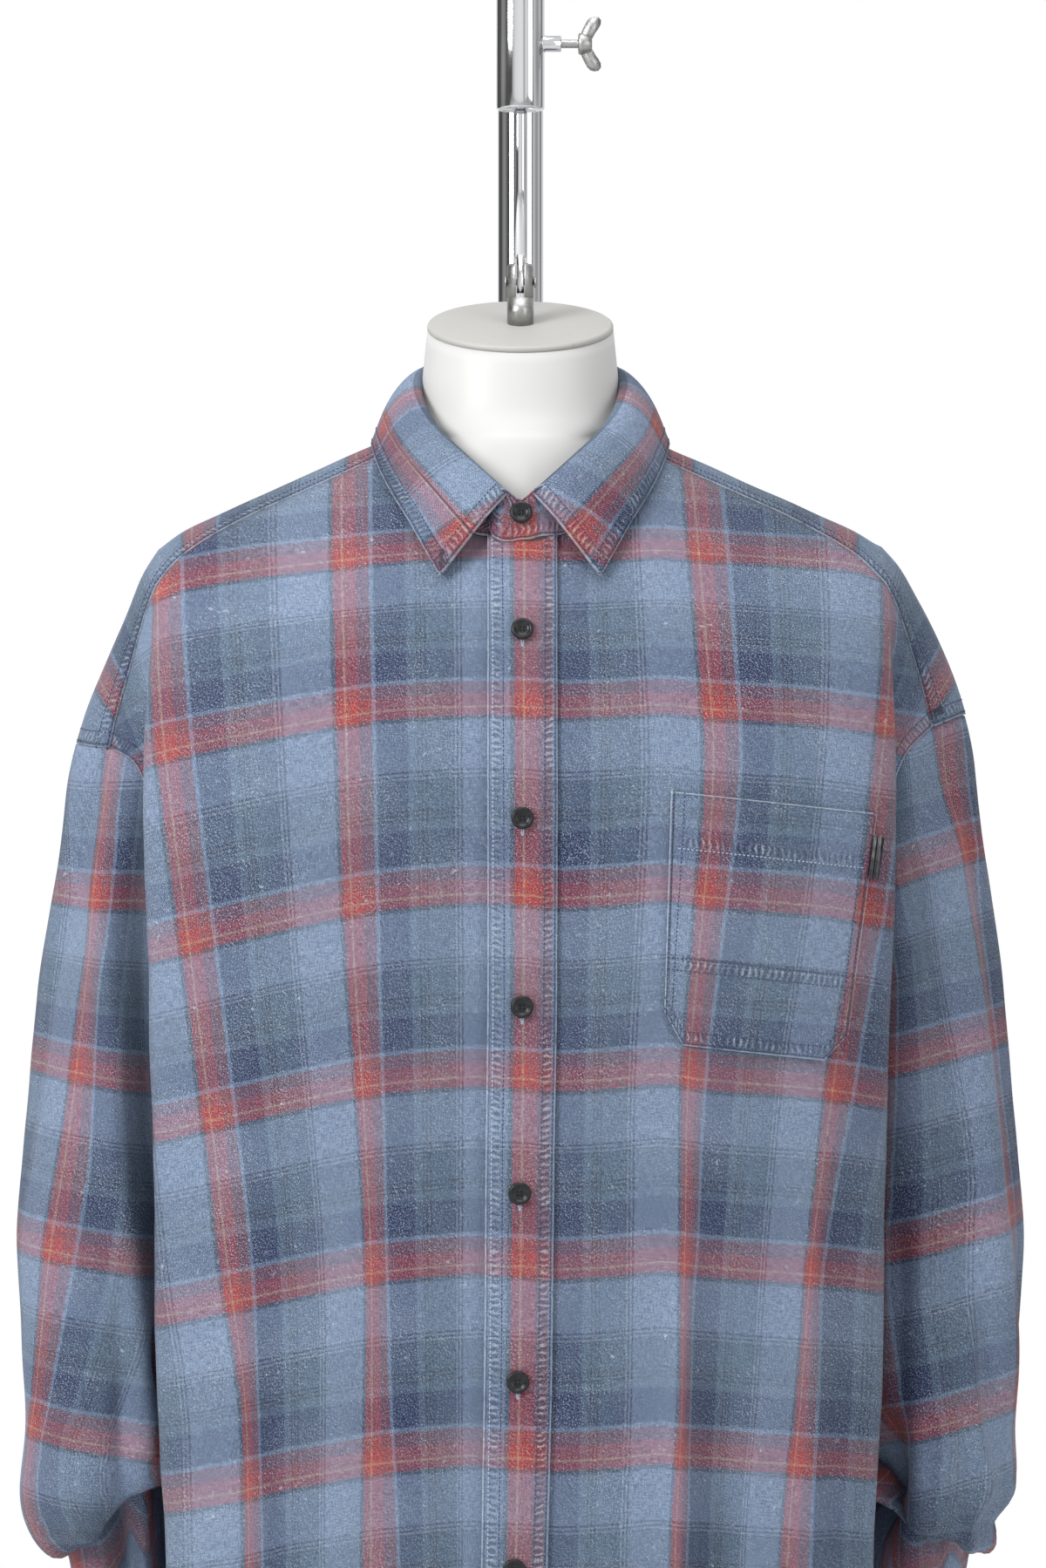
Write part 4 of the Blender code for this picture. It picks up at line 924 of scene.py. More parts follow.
grids = {}
for name, side, first in (("front_left", 1, PLACKET_LEFT), ("front_right", -1, -PLACKET_RIGHT)):
    grid, places = build_front(front_shares(first), side)
    if side < 0:
        for point in (point for line in grid for point in line):
            point.y += UNDER_LAYER * (1 - smooth((point.x - PLACKET_RIGHT) / 0.030))
    grid = [[lifted(point, side) for point in line] for line in grid]
    if side < 0:
        grid, places = mirrored(grid), mirrored(places)
    grids[name] = uneven(grid)
    seams = seam_ways(grids[name], ("last" if side > 0 else "first", "bottom"))
    piece = add_shell(name + "_cloth", grids[name], places, seams, body_cloth)
    print(name, "has", len(grid), "rows of", len(grid[0]), "points and", round(surface_area(piece), 3), "m2")

# %% [markdown]
# ## The back
#
# The back hangs straight from the yoke. Nothing but the cloth's own length places its stripes, so the chart
# is carried outwards from the middle, row by row.

# %% Back
BACK_ACROSS, BACK_UP, BACK_UP_SCALE = 0.047, 0.03, 0.99  # the chart's place at the middle, and its stretch
BACK_DROOP, BACK_DROOP_WAY = 0.020, 0.25  # how far the level stripes hang at the sides, and how far out
back_grid, back_places = [], []
back_shares = [column_share(x) for x in steps(0, SHOULDER_X, 56)] + steps(FOLD_SHARE, 1, 26)[1:]
for t in steps(0, 1, 170):
    halves, half_places = [], []
    for side in (1, -1):
        line, line_places, way = [], [], 0.0
        previous = None
        for s in back_shares:
            point = body_point(s, t, side, False)
            if s <= FOLD_SHARE:
                point.y += fold_rise(FINE_BACK_FOLDS, point.x, point.z, side)
            if previous is not None:
                way += (point - previous).length
            previous = point.copy()
            hang = BACK_DROOP * (min(way, BACK_DROOP_WAY) / BACK_DROOP_WAY) ** 2
            line.append(lifted(point, side))
            line_places.append((-side * way + BACK_ACROSS, (point.z + hang) * BACK_UP_SCALE + BACK_UP))
        halves.append(line)
        half_places.append(line_places)
    back_grid.append(halves[0][:0:-1] + halves[1])
    back_places.append(half_places[0][:0:-1] + half_places[1])
grids["back"] = uneven(back_grid)
back = add_shell("back_cloth", grids["back"], back_places,
                 seam_ways(grids["back"], ("first", "last", "bottom")), body_cloth)
print("the back has", round(surface_area(back), 3), "m2")

# %% [markdown]
# ## The yoke
#
# The yoke is one piece over both shoulders. It reaches a little way down the front, and a hand's breadth down
# the back. Its level stripes run along the shoulder, so a red one lies beside the front seam.

# %% Yoke
YOKE_ON_TOP = 0.0006  # the yoke's turned edges lie on the fronts and the back
YOKE_START, YOKE_SHIFT = 0.034, 0.006  # the chart's place along its front seam, and how far it is moved
YOKE_ROWS = 64


def yoke_line(q, w):
    """A point of the yoke: q is 0 at the middle, 1 by the neck, 2 at the shoulder, 3 at the armhole."""
    if q < 1:
        inner = neckline(q * NECK_SEAM_TURN)
        outer = shoulder_section(NECK_X * q, 1)
        share = (w + 1) / 2
        x, y = mix(inner.x, outer.x, share), mix(inner.y, outer.y, share)
        return Vector((x, y, torso_top(x, y))) if share < 1 else outer
    if q < 2:
        return shoulder_section(mix(NECK_X, SHOULDER_X, q - 1), w)
    return sleeve_head(q - 2, w)


yoke_columns = steps(0, 1, 24)[:-1] + steps(1, 2, 36)[:-1] + steps(2, 3, 22)
yoke_rows, yoke_places = [], []
signed_columns = [(-1, q) for q in yoke_columns[:0:-1]] + [(1, q) for q in yoke_columns]
for w in steps(-1, 1, YOKE_ROWS):
    yoke_rows.append([lifted(yoke_line(q, w), side) for side, q in signed_columns])
ways_across = seam_ways(yoke_rows, ("first",))
ways_back = seam_ways(yoke_rows, ("last",))
ways_up = seam_ways(yoke_rows, ("bottom",))
ways_down = seam_ways(yoke_rows, ("top",))
by_the_neck, middle = yoke_columns.index(1.0), len(yoke_columns) - 1
own_ways = [[min(left[0], right[0]) for left, right in zip(*pair)] for pair in zip(ways_across, ways_back)]
first_neck = middle + by_the_neck
whole_way = own_ways[0][first_neck] + abs(yoke_rows[0][first_neck].x)
neck_way = ways_up[-1][first_neck][0] + YOKE_START
for w, row, own, up, down in zip(steps(-1, 1, YOKE_ROWS), yoke_rows, own_ways, ways_up, ways_down):
    line = []
    behind = smooth(w + 0.5)
    for c, point in enumerate(row):
        # The upright stripes run by x as far as the neck, and along the cloth from there
        over, upwards = whole_way - abs(point.x), neck_way - down[c][0]
        if abs(c - middle) > by_the_neck:
            beside = middle + int(math.copysign(by_the_neck, c - middle))
            over = whole_way - abs(row[beside].x) - own[beside] + own[c]
            # The level ones are parallel to the front seam in front, and to the back seam behind
            upwards = mix(up[c][0] + YOKE_START, upwards, behind)
        line.append((over - YOKE_SHIFT, upwards))
    yoke_places.append(line)
grids["yoke"] = moved_out(uneven(yoke_rows), YOKE_ON_TOP)
yoke_seams = seam_ways(grids["yoke"], ("first", "last", "bottom", "top"))
yoke = add_shell("yoke_cloth", grids["yoke"], yoke_places, yoke_seams, body_cloth)
print("the yoke has", round(surface_area(yoke), 3), "m2")

# %% [markdown]
# ## Sleeves
#
# A dropped sleeve starts half way down the upper arm. It hangs flat beside the body, with a long edge down
# its front where the cloth turns inwards, and blouses over the cuff. A few rings of points are joined by a
# smooth line down each of many columns, and ridges and creases are pushed out of that tube one by one.

# %% Sizes of the sleeves
SLEEVE_RINGS = (  # z outside, z inside, x outside, x inside, y front, y back
    (-0.235, -0.238, 0.2652, 0.1700, -0.058, 0.092),
    (-0.285, -0.285, 0.2632, 0.1700, -0.060, 0.092),
    (-0.335, -0.328, 0.2605, 0.1705, -0.060, 0.090),
    (-0.372, -0.354, 0.2625, 0.1715, -0.058, 0.087),
    (-0.392, -0.370, 0.2575, 0.1735, -0.050, 0.080),
    (-0.404, -0.378, 0.2475, 0.1760, -0.040, 0.072),
    (-0.402, -0.374, 0.2385, 0.1775, -0.032, 0.064),
    (-0.414, -0.394, 0.2345, 0.1765, -0.028, 0.062),
    (-0.433, -0.428, 0.2330, 0.1745, -0.025, 0.062),
    (-0.4475, -0.4475, 0.2310, 0.1750, -0.023, 0.060),
)
SLEEVE_GAP, SLEEVE_FAN = 0.0021, 6
SLEEVE_BOXY = 0.86  # 1 is an oval, and less is nearer to a box
CUFF_TOP, CUFF_BOTTOM = -0.4480, -0.5120
CUFF_X, CUFF_Y, CUFF_HALF_X, CUFF_HALF_Y = 0.203, 0.0185, 0.0285, 0.0415
CAP_SHARE = 0.12
TURNS = 168
PARTS_BELOW = (12, 12, 10, 6, 5, 5, 5, 6, 4)  # rows from each ring to the next
# z, x of the long front edge, x of a place in the chart, how much cloth lies in a metre there, and that place
SLEEVE_LINES = {
    -1: ((0.040, 0.2067, 0.2100, 1.0, 0.0095), (0.0215, 0.2067, 0.2113, 1.0, 0.0095),
         (-0.036, 0.2153, 0.2168, 1.0, 0.0095), (-0.094, 0.2140, 0.2215, 1.0, 0.0095),
         (-0.137, 0.2103, 0.2253, 1.0, 0.0095), (-0.190, 0.2085, 0.2309, 1.0, 0.0095),
         (-0.232, 0.2030, 0.2379, 1.0, 0.0095), (-0.316, 0.1950, 0.2490, 1.05, 0.0095),
         (-0.364, 0.1930, 0.2544, 1.05, 0.0095), (-0.450, 0.1930, 0.2250, 1.0, 0.0095)),
    1: ((0.040, 0.2200, 0.2215, 1.0, 0.0095), (0.0350, 0.2210, 0.2227, 1.0, 0.0095),
        (-0.0034, 0.2225, 0.2235, 1.0, 0.0095), (-0.0320, 0.2250, 0.2300, 1.0, 0.0095),
        (-0.1140, 0.2366, 0.2385, 0.98, -0.004), (-0.158, 0.2416, 0.2440, 0.98, -0.008),
        (-0.2060, 0.2461, 0.2480, 0.99, -0.012), (-0.269, 0.2524, 0.2480, 1.0, -0.012),
        (-0.3160, 0.2556, 0.2480, 1.0, -0.012), (-0.360, 0.2578, 0.2480, 1.0, -0.012),
        (-0.450, 0.2300, 0.2250, 1.0, -0.012)),
}
LEVEL_START = {-1: -0.0395, 1: -0.0305}  # z of the pale level line on each sleeve
LEVEL_SLOPE = {-1: 0.16, 1: 0.26}  # how far the level stripes climb outwards
LEVEL_X = {-1: 0.2245, 1: 0.2170}  # where they stand at that height
HOLLOWS = {  # x, z, half width, half height and depth of the dark pits between sleeve and body
    -1: ((0.184, -0.298, 0.0055, 0.016, 0.016), (0.206, -0.335, 0.006, 0.045, 0.004)),
    1: ((0.184, -0.362, 0.0100, 0.028, 0.030), (0.214, -0.350, 0.006, 0.040, 0.003)),
}
UNDER_LINE = (-0.374, -0.62)  # z of the right blouse's lower edge at x 0.195, and its slope
STRAIGHT_Z = -0.345  # above this a stripe is placed by its x
BLOUSE_Z = -0.345  # below this the level stripes follow the cloth's own length
PALE_LINE = 0.02035
RIDGE_LEFT = (  # z and x of the ridge down the left blouse
    (-0.400, 0.2340), (-0.380, 0.2385), (-0.363, 0.2430), (-0.340, 0.2392), (-0.310, 0.2352),
    (-0.250, 0.2330))
LEFT_WAIST_Z, LEFT_WAIST = -0.386, 0.0085  # where the left blouse is drawn in from outside, and how far
RIGHT_RISE = 0.0120  # how far the right blouse's inner side is drawn up
RIGHT_RISE_LOW, RIGHT_RISE_HIGH = -0.415, -0.345


def armhole(turn):
    """The armhole loop: 0 at the tip, then down the front to the underarm (0.5), and up the back."""
    front = turn <= 0.5
    share = turn * 2 if front else 2 - turn * 2
    if share < CAP_SHARE:
        return sleeve_head(1.0, (-1 if front else 1) * share / CAP_SHARE)
    return ROUTES["armhole_front" if front else "armhole_back"].at((share - CAP_SHARE) / (1 - CAP_SHARE))


def sleeve_ring(ring, turn):
    z_out, z_in, x_out, x_in, y_front, y_back = ring
    sine, cosine = math.sin(turn * 2 * math.pi), math.cos(turn * 2 * math.pi)
    outward = (1 + cosine) / 2
    x = mix(x_in, x_out, 0.5 + 0.5 * math.copysign(abs(cosine) ** SLEEVE_BOXY, cosine))
    deep = math.copysign(abs(sine) ** SLEEVE_BOXY, sine)
    y = (y_front + y_back) / 2 - (y_back - y_front) / 2 * deep
    return Vector((x, y, mix(z_in, z_out, outward)))


def sleeve_column(turn):
    """Control points down the sleeve at one turn, the same as the solid's rows."""
    start, end = armhole(turn), sleeve_ring(SLEEVE_RINGS[0], turn)
    outward = (1 + math.cos(turn * 2 * math.pi)) / 2
    away = Vector((1, 0, -0.15)).lerp(Vector((0.12, 0, -1)), outward ** 3).normalized()
    start = start + away * SLEEVE_GAP * mix(1.0, 0.5, outward)
    points = []
    for fan in steps(0, 1, SLEEVE_FAN)[:-1]:
        point = start.lerp(end, fan)
        point.x += 0.003 * outward * math.sin(fan * math.pi)
        point.y -= 0.008 * math.sin(turn * 2 * math.pi) * math.sin(fan * math.pi)
        points.append(point)
    return points + [sleeve_ring(ring, turn) for ring in SLEEVE_RINGS]


def sleeve_crease(point, turn, side):
    """How far the cloth stands out or sinks in at a point of the sleeve."""
    edge_x = read_table(SLEEVE_LINES[side], point.z)[0]
    strength = smooth((0.010 - point.z) / 0.06) * smooth((point.z + 0.43) / 0.05)
    out = 0.0
    if 0.02 < turn < 0.48:
        out += 0.0048 * hump(point.x - edge_x, 0.0075) * strength
        out -= 0.0050 * hump(point.x - edge_x + 0.021, 0.011) * strength
        if side > 0:
            out -= 0.0032 * hump(point.x - edge_x - 0.010, 0.006) * strength
            out -= 0.0030 * hump(point.x - 0.196, 0.006) * smooth((-0.18 - point.z) / 0.08) * strength
    else:
        out += 0.0040 * hump(point.x - 0.215, 0.010) * strength
        out -= 0.0040 * hump(point.x - 0.236, 0.009) * strength
    if side > 0 and turn < 0.48:
        ridge = along_table(RIDGE_LEFT, point.z)
        lower = smooth((-0.25 - point.z) / 0.06) * smooth((point.z + 0.415) / 0.03)
        beside = 0.0040 * hump(point.x - ridge - 0.0095, 0.006)
        out += (0.0042 * hump(point.x - ridge, 0.0042) - beside) * lower
    if turn < 0.5:
        for x, z, half_x, half_z, depth in HOLLOWS[side]:
            out -= depth * hump(point.x - x, half_x) * hump(point.z - z, half_z)
    if side < 0 and turn < 0.5:
        below = smooth((UNDER_LINE[0] + UNDER_LINE[1] * (point.x - 0.195) - point.z) / 0.007)
        out -= 0.013 * below * smooth((0.222 - point.x) / 0.016) * smooth((point.z + 0.440) / 0.02)
    # Creases of the blouse fan out over the cuff
    blouse = smooth((-0.27 - point.z) / 0.09) * smooth((point.z + 0.440) / 0.035)
    fan = noise.noise(Vector((turn * 9.0 + 4 * side, point.z * 6, 2.5 * side)))
    out += 0.0060 * fan * blouse
    gather = smooth((-0.405 - point.z) / 0.02)
    out += 0.0011 * math.sin(turn * 2 * math.pi * 23 + 2 * fan) * gather
    return out


def drawn_blouse(point, side):
    """Draws the gathered cloth over the cuff in or up, because the two blouses hang differently."""
    if side > 0:
        point.x -= LEFT_WAIST * hump(point.z - LEFT_WAIST_Z, 0.011) * smooth((point.x - 0.232) / 0.016)
        return
    within = smooth((RIGHT_RISE_HIGH - point.z) / 0.02) * smooth((point.z - RIGHT_RISE_LOW) / 0.02)
    point.z += RIGHT_RISE * smooth((0.236 - point.x) / 0.045) * within


def ways_round(row):
    """How far it is along a closed row to each of its points, and back to the first."""
    ways = [0.0]
    for a, b in zip(row, row[1:] + row[:1]):
        ways.append(ways[-1] + (b - a).length)
    return ways


def tucked_start(turn, side):
    """Two points under the body's edge, where the sleeve's seam allowance lies."""
    front = turn <= 0.5
    share = turn * 2 if front else 2 - turn * 2
    if share < CAP_SHARE:
        inner = sleeve_head(0.86, (-1 if front else 1) * share / CAP_SHARE)
    else:
        t = 1 - (share - CAP_SHARE) / (1 - CAP_SHARE) * (1 - UNDERARM_SHARE)
        inner = body_point(0.985, t, side, front)
    edge = armhole(turn)
    back_in = (inner - edge).normalized() * 0.005
    inside = Vector((0.12, 0.005, 0.0)) - edge
    inside = Vector((inside.x, inside.y, -0.02 if share < CAP_SHARE * 2 else 0.0)).normalized() * 0.0021
    return [edge + back_in + inside, edge + inside * 0.9]


# %% Sleeves
for name, side in (("left", 1), ("right", -1)):
    # The grid starts at the back, where a seam could hide, so that the chart runs unbroken over the front
    turns = [(i / TURNS + 0.75) % 1 for i in range(TURNS)]
    columns = []
    for turn in turns:
        control = sleeve_column(turn)
        column = tucked_start(turn, side)
        for number in range(len(control) - 1):
            parts = 9 if number < SLEEVE_FAN else PARTS_BELOW[number - SLEEVE_FAN]
            column += [spline(control, number + i / parts) for i in range(parts)]
        columns.append(column + [control[-1]])
    rows = [list(row) for row in zip(*columns)]
    out = [[sleeve_crease(p, turn, side) + unevenness(p) for p, turn in zip(row, turns)] for row in rows]
    out[0] = out[1] = [0.0] * TURNS
    rows = moved_out(rows, out, wrap=True)
    for row in rows:
        for point in row:
            drawn_blouse(point, side)
    places = []
    down = [0.0] * TURNS
    for r, row in enumerate(rows):
        ways = ways_round(row)
        outermost = ways[TURNS // 4]
        if row[TURNS // 4].z > STRAIGHT_Z:
            off_stripe = [p.x - read_table(SLEEVE_LINES[side], p.z)[1] for p in row]
            for c in range(TURNS // 4, TURNS * 3 // 4):
                if off_stripe[c + 1] <= 0 < off_stripe[c]:
                    share = off_stripe[c] / (off_stripe[c] - off_stripe[c + 1])
                    from_edge = (mix(ways[c], ways[c + 1], share) - outermost) / ways[-1]
                    in_chart, place = read_table(SLEEVE_LINES[side], row[c].z)[2:]
                    in_chart *= ways[-1]
                    break
        # Below that the stripes run on down the gathered cloth
        start, packed = outermost + from_edge * ways[-1], in_chart / ways[-1]
        line = []
        for c, point in enumerate(row + row[:1]):
            column = c % TURNS
            if r and point.z < BLOUSE_Z and c < TURNS:
                above = rows[r - 1][column]
                share = (BLOUSE_Z - point.z) / max(above.z - point.z, 1e-6)
                down[column] += (point - above).length * min(share, 1.0)
            level = max(point.z, BLOUSE_Z) - down[column] - LEVEL_START[side]
            level -= LEVEL_SLOPE[side] * (point.x - LEVEL_X[side])
            line.append((-side * (ways[c] - start) * packed + place, level + PALE_LINE))
        places.append(line)
    rows = [[lifted(p, side) for p in row] for row in rows]
    if side > 0:
        rows, places = mirrored(rows), mirrored(places)
    rows, places = rows[::-1], places[::-1]
    grids["sleeve_" + name] = rows
    seams = [[(FAR_FROM_SEAMS, 0.0)] * TURNS for _ in rows]
    piece = add_shell("sleeve_%s_cloth" % name, rows, places, seams, body_cloth, wrap=True)
    print("sleeve", name, "has", round(surface_area(piece), 3), "m2")

# %% [markdown]
# ## Cuffs
#
# A cuff is a straight band, doubled, that the gathered sleeve end is sewn into. On the shirt it laps over
# itself at its opening and closes with one button; here it is a closed ring with a thicker wall, and its
# button sits on the front.

# %% Cuffs
CUFF_WALL, CUFF_SIDES, CUFF_GROWS = 0.0022, 96, 0.03
CUFF_ACROSS, CUFF_UP = 0.020, 0.478  # the chart's place where the cuff's grid starts


def cuff_ring(share, turn, side):
    grown = 1 + CUFF_GROWS * share
    z = mix(CUFF_TOP - 0.001, CUFF_BOTTOM, share)
    ring = (z, z, CUFF_X + CUFF_HALF_X * grown, CUFF_X - CUFF_HALF_X * grown,
            CUFF_Y - CUFF_HALF_Y * grown, CUFF_Y + CUFF_HALF_Y * grown)
    return lifted(sleeve_ring(ring, turn), side)


for name, side in (("left", 1), ("right", -1)):
    rows = []
    for share in steps(0, 1, 20):
        row = [cuff_ring(share, i / CUFF_SIDES, side) for i in range(CUFF_SIDES)]
        rows.append(row[::-1] if side > 0 else row)
    rows = uneven(rows[::-1], wrap=True)
    grids["cuff_" + name] = rows
    places = [[(way + CUFF_ACROSS, row[0].z + CUFF_UP) for way in ways_round(row)] for row in rows]
    seams = [line[:-1] for line in seam_ways([row + row[:1] for row in rows], ("top", "bottom"))]
    add_shell("cuff_%s_cloth" % name, rows, places, seams, body_cloth, wrap=True, wall=CUFF_WALL)

# %% [markdown]
# ## Placket and pocket
#
# The placket is a strip folded back on itself and sewn down on both sides, so it lies one cloth higher than
# the front. The pocket is a patch with two clipped corners. Both are cut so that their check meets that of
# the front.

# %% Placket
placket_shares = [column_share(x) for x in steps(PLACKET_LEFT, PLACKET_RIGHT, 30)]
rows, places = build_front(placket_shares, 1)
grids["placket"] = moved_out(uneven(rows), LAYER)
seams = seam_ways(grids["placket"], ("first", "last", "bottom"))
add_shell("placket_cloth", grids["placket"], places, seams, trim_cloth, wall=0.0014)

# %% Pocket
POCKET_LEFT, POCKET_RIGHT = (0.0762, 0.0727), (0.1800, 0.1660)
POCKET_TOP = (-0.0038, -0.0150)
POCKET_BOTTOM = ((0.0, -0.1149), (0.10, -0.1321), (0.86, -0.1405), (1.0, -0.1273))
POCKET_HEM, POCKET_LAP = 0.0285, 0.0822  # from the pocket's top edge


def pocket_point(u, v):
    """u across from the placket side, v up from the bottom, on the wearer's left front."""
    low = along_table(POCKET_BOTTOM, u)
    high = mix(POCKET_TOP[0], POCKET_TOP[1], u)
    z = mix(low, high, v)
    down = (high - z) / (high - min(low, POCKET_BOTTOM[0][1] if u < 0.5 else POCKET_BOTTOM[3][1]))
    x = mix(mix(POCKET_LEFT[0], POCKET_LEFT[1], down), mix(POCKET_RIGHT[0], POCKET_RIGHT[1], down), u)
    return Vector((x, torso_y(x, z, 1, True) - fold_rise(FINE_FRONT_FOLDS, x, z, 1), z))


across_pocket = steps(0, 0.10, 8)[:-1] + steps(0.10, 0.86, 48)[:-1] + steps(0.86, 1, 10)
rows = [[pocket_point(u, v) for u in across_pocket] for v in steps(0, 1, 100)]
places = [[(chart_across(p.x, p.z, 1), chart_up(p.x, p.z, 1)) for p in row] for row in rows]
grids["pocket"] = moved_out(uneven(rows), POCKET_LAYER)
seams = seam_ways(grids["pocket"], ("first", "last", "bottom", "top"))
low_seam = seam_ways(grids["pocket"], ("bottom",))
# The sides and the top lie flat, and two more seams cross the pocket: its hem and, lower down, a lap
for line, from_low, from_top in zip(seams, low_seam, seam_ways(grids["pocket"], ("top",))):
    for c, (down, on) in enumerate(from_top):
        if line[c][0] > 0.0025 and line[c] != from_low[c]:
            line[c] = (0.012, on)
        for under in (down - POCKET_LAP, POCKET_HEM + 0.0015 - down):
            if 0 < under < 0.011 and 6 < c < len(line) - 6:
                line[c] = (under, on)
add_shell("pocket_cloth", grids["pocket"], places, seams, trim_cloth, wall=0.0014)
print("placket and pocket lie", LAYER * 1000, "and", POCKET_LAYER * 1000, "mm out from the front")

# %% [markdown]
# ## Collar
#
# A shirt's collar is two pieces. The band stands up round the neck and laps over at the front. The fall is
# sewn into the band's top, turns over a soft roll and lies on the shoulders, its two leaves on the chest.

# %% Sizes of the collar
ROLL_X, ROLL_Y, ROLL_MIDDLE_Y = 0.0545, 0.073, -0.010
# How far round the neck, from 0 at the back to 1 at the front, and the roll's height there
ROLL_HEIGHTS = ((1.0, 0.1425), (0.967, 0.1465), (0.825, 0.1670), (0.66, 0.1885), (0.55, 0.2030),
                (0.40, 0.2170), (0.20, 0.2245), (0.0, 0.2265))
COLLAR_WALL, LEAF_SHARE = 0.0016, 0.965
FALL_BACK = ((0, 0.088, 0.182), (0.034, 0.080, 0.181), (0.062, 0.055, 0.180), (0.0765, 0.018, 0.1815))
LEAF_EDGE = ((0.0768, 0.1745), (0.0700, 0.1570), (0.0560, 0.1330), (0.0410, 0.1060))
LEAF_OUT = (0.0050, 0.0045, 0.0045, 0.0045)
LEAF_CLEAR = 0.0040
BAND_ENDS = (-1.075, 1.085)
BAND_LOW, BAND_HIGH = (0.085, 0.34), (0.91, 1.10)  # shares of the way up, all round and at the front
BAND_OUT, BAND_UNDER_OUT = 0.0034, 0.0012  # how far the two ends stand out from the neckline
FALL_WIDTH, TIP_LEAN = 0.056, 0.0209
TIP_PLACES = {-1: (0.0203, -1), 1: (-0.006, 1)}  # the chart at each leaf's tip, and which way it runs on


def roll_line(turn):
    angle = math.pi * turn
    height = read_table(ROLL_HEIGHTS, turn)[0]
    return Vector((ROLL_X * math.sin(angle), ROLL_MIDDLE_Y + ROLL_Y * math.cos(angle), height))


ROUTES["fall"] = Route(FALL_BACK + tuple(
    (x, torso_y(x, z, 0, True) - out, z) for (x, z), out in zip(LEAF_EDGE, LEAF_OUT)))


def band_line(place, height):
    """The band: place is 0 at the back, 1 or -1 at the middle of the front, and runs on past it."""
    past = abs(place) > 1
    turn = 2 - abs(place) if past else abs(place)
    point = neckline(turn).lerp(roll_line(turn), height)
    point.x *= 1 if (place > 0) != past else -1
    point.y -= (BAND_OUT if place > 0 else BAND_UNDER_OUT) * smooth((abs(place) - 0.86) / 0.10)
    return point


def fall_point(turn, v):
    """The fall: turn is 0 at the middle of the back and 1 at the leaf's front edge, v is 1 at the outer edge.
    Under 0, v curls back over the roll to the band."""
    inner = roll_line(turn * LEAF_SHARE)
    out = Vector((inner.x, inner.y - ROLL_MIDDLE_Y, 0)).normalized()
    if v < 0:
        angle = math.radians(45 - v * 150)
        radius = COLLAR_WALL * 1.45
        return inner + (out * math.cos(angle) + Vector((0, 0, math.sin(angle)))) * radius
    outer = ROUTES["fall"].at(turn)
    swell = math.sin(math.pi * v ** 0.62)
    point = inner.lerp(outer, v) + out * (0.0045 * swell) + Vector((0, 0, 0.0012 * swell))
    point = point + (out + Vector((0, 0, 1))) * (COLLAR_WALL * (1 - v))
    if turn > 0.55:
        clear = torso_y(point.x, min(point.z, front_top_z(point.x)), 0, True) - LEAF_CLEAR
        share = smooth((turn - 0.55) / 0.25) * smooth(v * 1.5)
        point.y = mix(point.y, min(point.y, clear), share)
    return point


# %% Band
band_places = steps(BAND_ENDS[1], BAND_ENDS[0], 170)
band_ways = [0.0]
for a, b in zip(band_places, band_places[1:]):
    band_ways.append(band_ways[-1] + (band_line(a, 0.5) - band_line(b, 0.5)).length)
rows = []
for level in steps(0, 1, 14):
    row = []
    for place, way in zip(band_places, band_ways):
        from_end = min(way, band_ways[-1] - way)
        corner = 1 - math.sqrt(1 - (1 - min(from_end / 0.011, 1.0)) ** 2)
        at_front = smooth((abs(place) - 0.86) / 0.10)
        low = mix(*BAND_LOW, at_front) - 1.6 * max(place - 1, 0.0)
        high = mix(mix(*BAND_HIGH, at_front), 0.50, corner)
        low = mix(low, 0.50, corner * 0.45)
        row.append(band_line(place, mix(low, high, level)))
    rows.append(row)
middle_front = min(zip(band_places, band_ways), key=lambda pair: abs(pair[0] - 1))[1]
places = [[(middle_front - way + 0.008, 0.0045 + 0.028 * r / 14) for way in band_ways] for r in range(15)]
grids["band"] = rows
add_shell("collar_band_cloth", rows, places, seam_ways(rows, ("top", "bottom", "first", "last")), trim_cloth,
          wall=COLLAR_WALL)

# %% Fall
fall_turns = steps(1, 0, 90)
fall_levels = steps(1, 0, 40) + [-0.2, -0.4, -0.6, -0.8, -1.0]
outer_ways, roll_ways = [0.0], [0.0]
for a, b in zip(fall_turns, fall_turns[1:]):
    outer_ways.append(outer_ways[-1] + (ROUTES["fall"].at(a) - ROUTES["fall"].at(b)).length)
    roll_ways.append(roll_ways[-1] + (roll_line(a * LEAF_SHARE) - roll_line(b * LEAF_SHARE)).length)
# The two leaves are charted from their own tips, and the remainder is spread over the back of the neck
remainder = (TIP_PLACES[-1][0] - TIP_PLACES[1][0] - 2 * outer_ways[-1]) % REPEAT
remainder -= REPEAT if remainder > REPEAT / 2 else 0
rows, places = [], []
for v in fall_levels:
    half, half_places = [], []
    for turn, outer_way, roll_way in zip(fall_turns, outer_ways, roll_ways):
        share = max(v, 0.0)
        way = mix(roll_way + TIP_LEAN * (1 - roll_way / roll_ways[-1]), outer_way, share)
        way += remainder / 2 * smooth((outer_way - 0.10) / (outer_ways[-1] - 0.10))
        point = fall_point(turn, v)
        from_edge = min((1 - share) * FALL_WIDTH, outer_way + (1 - share) * 0.01)
        ripple = noise.noise(Vector((outer_way * 120, share * 4, 2.0))) * math.exp(-(from_edge / 0.012) ** 2)
        point = point + Vector((0, -0.0005, 0.0003)) * ripple
        half.append(point)
        half_places.append((way, 0.0307 - (1 - v) * FALL_WIDTH))
    row = half + [Vector((-p.x, p.y, p.z)) for p in half[-2::-1]]
    start, sense = TIP_PLACES[1]
    row_places = [(start + sense * way, up) for way, up in half_places]
    start, sense = TIP_PLACES[-1]
    left_places = [(start + sense * way, up) for way, up in half_places[-2::-1]]
    shift = round((row_places[-1][0] - left_places[0][0]) / REPEAT) * REPEAT
    rows.append(row)
    places.append(row_places + [(place + shift, up) for place, up in left_places])
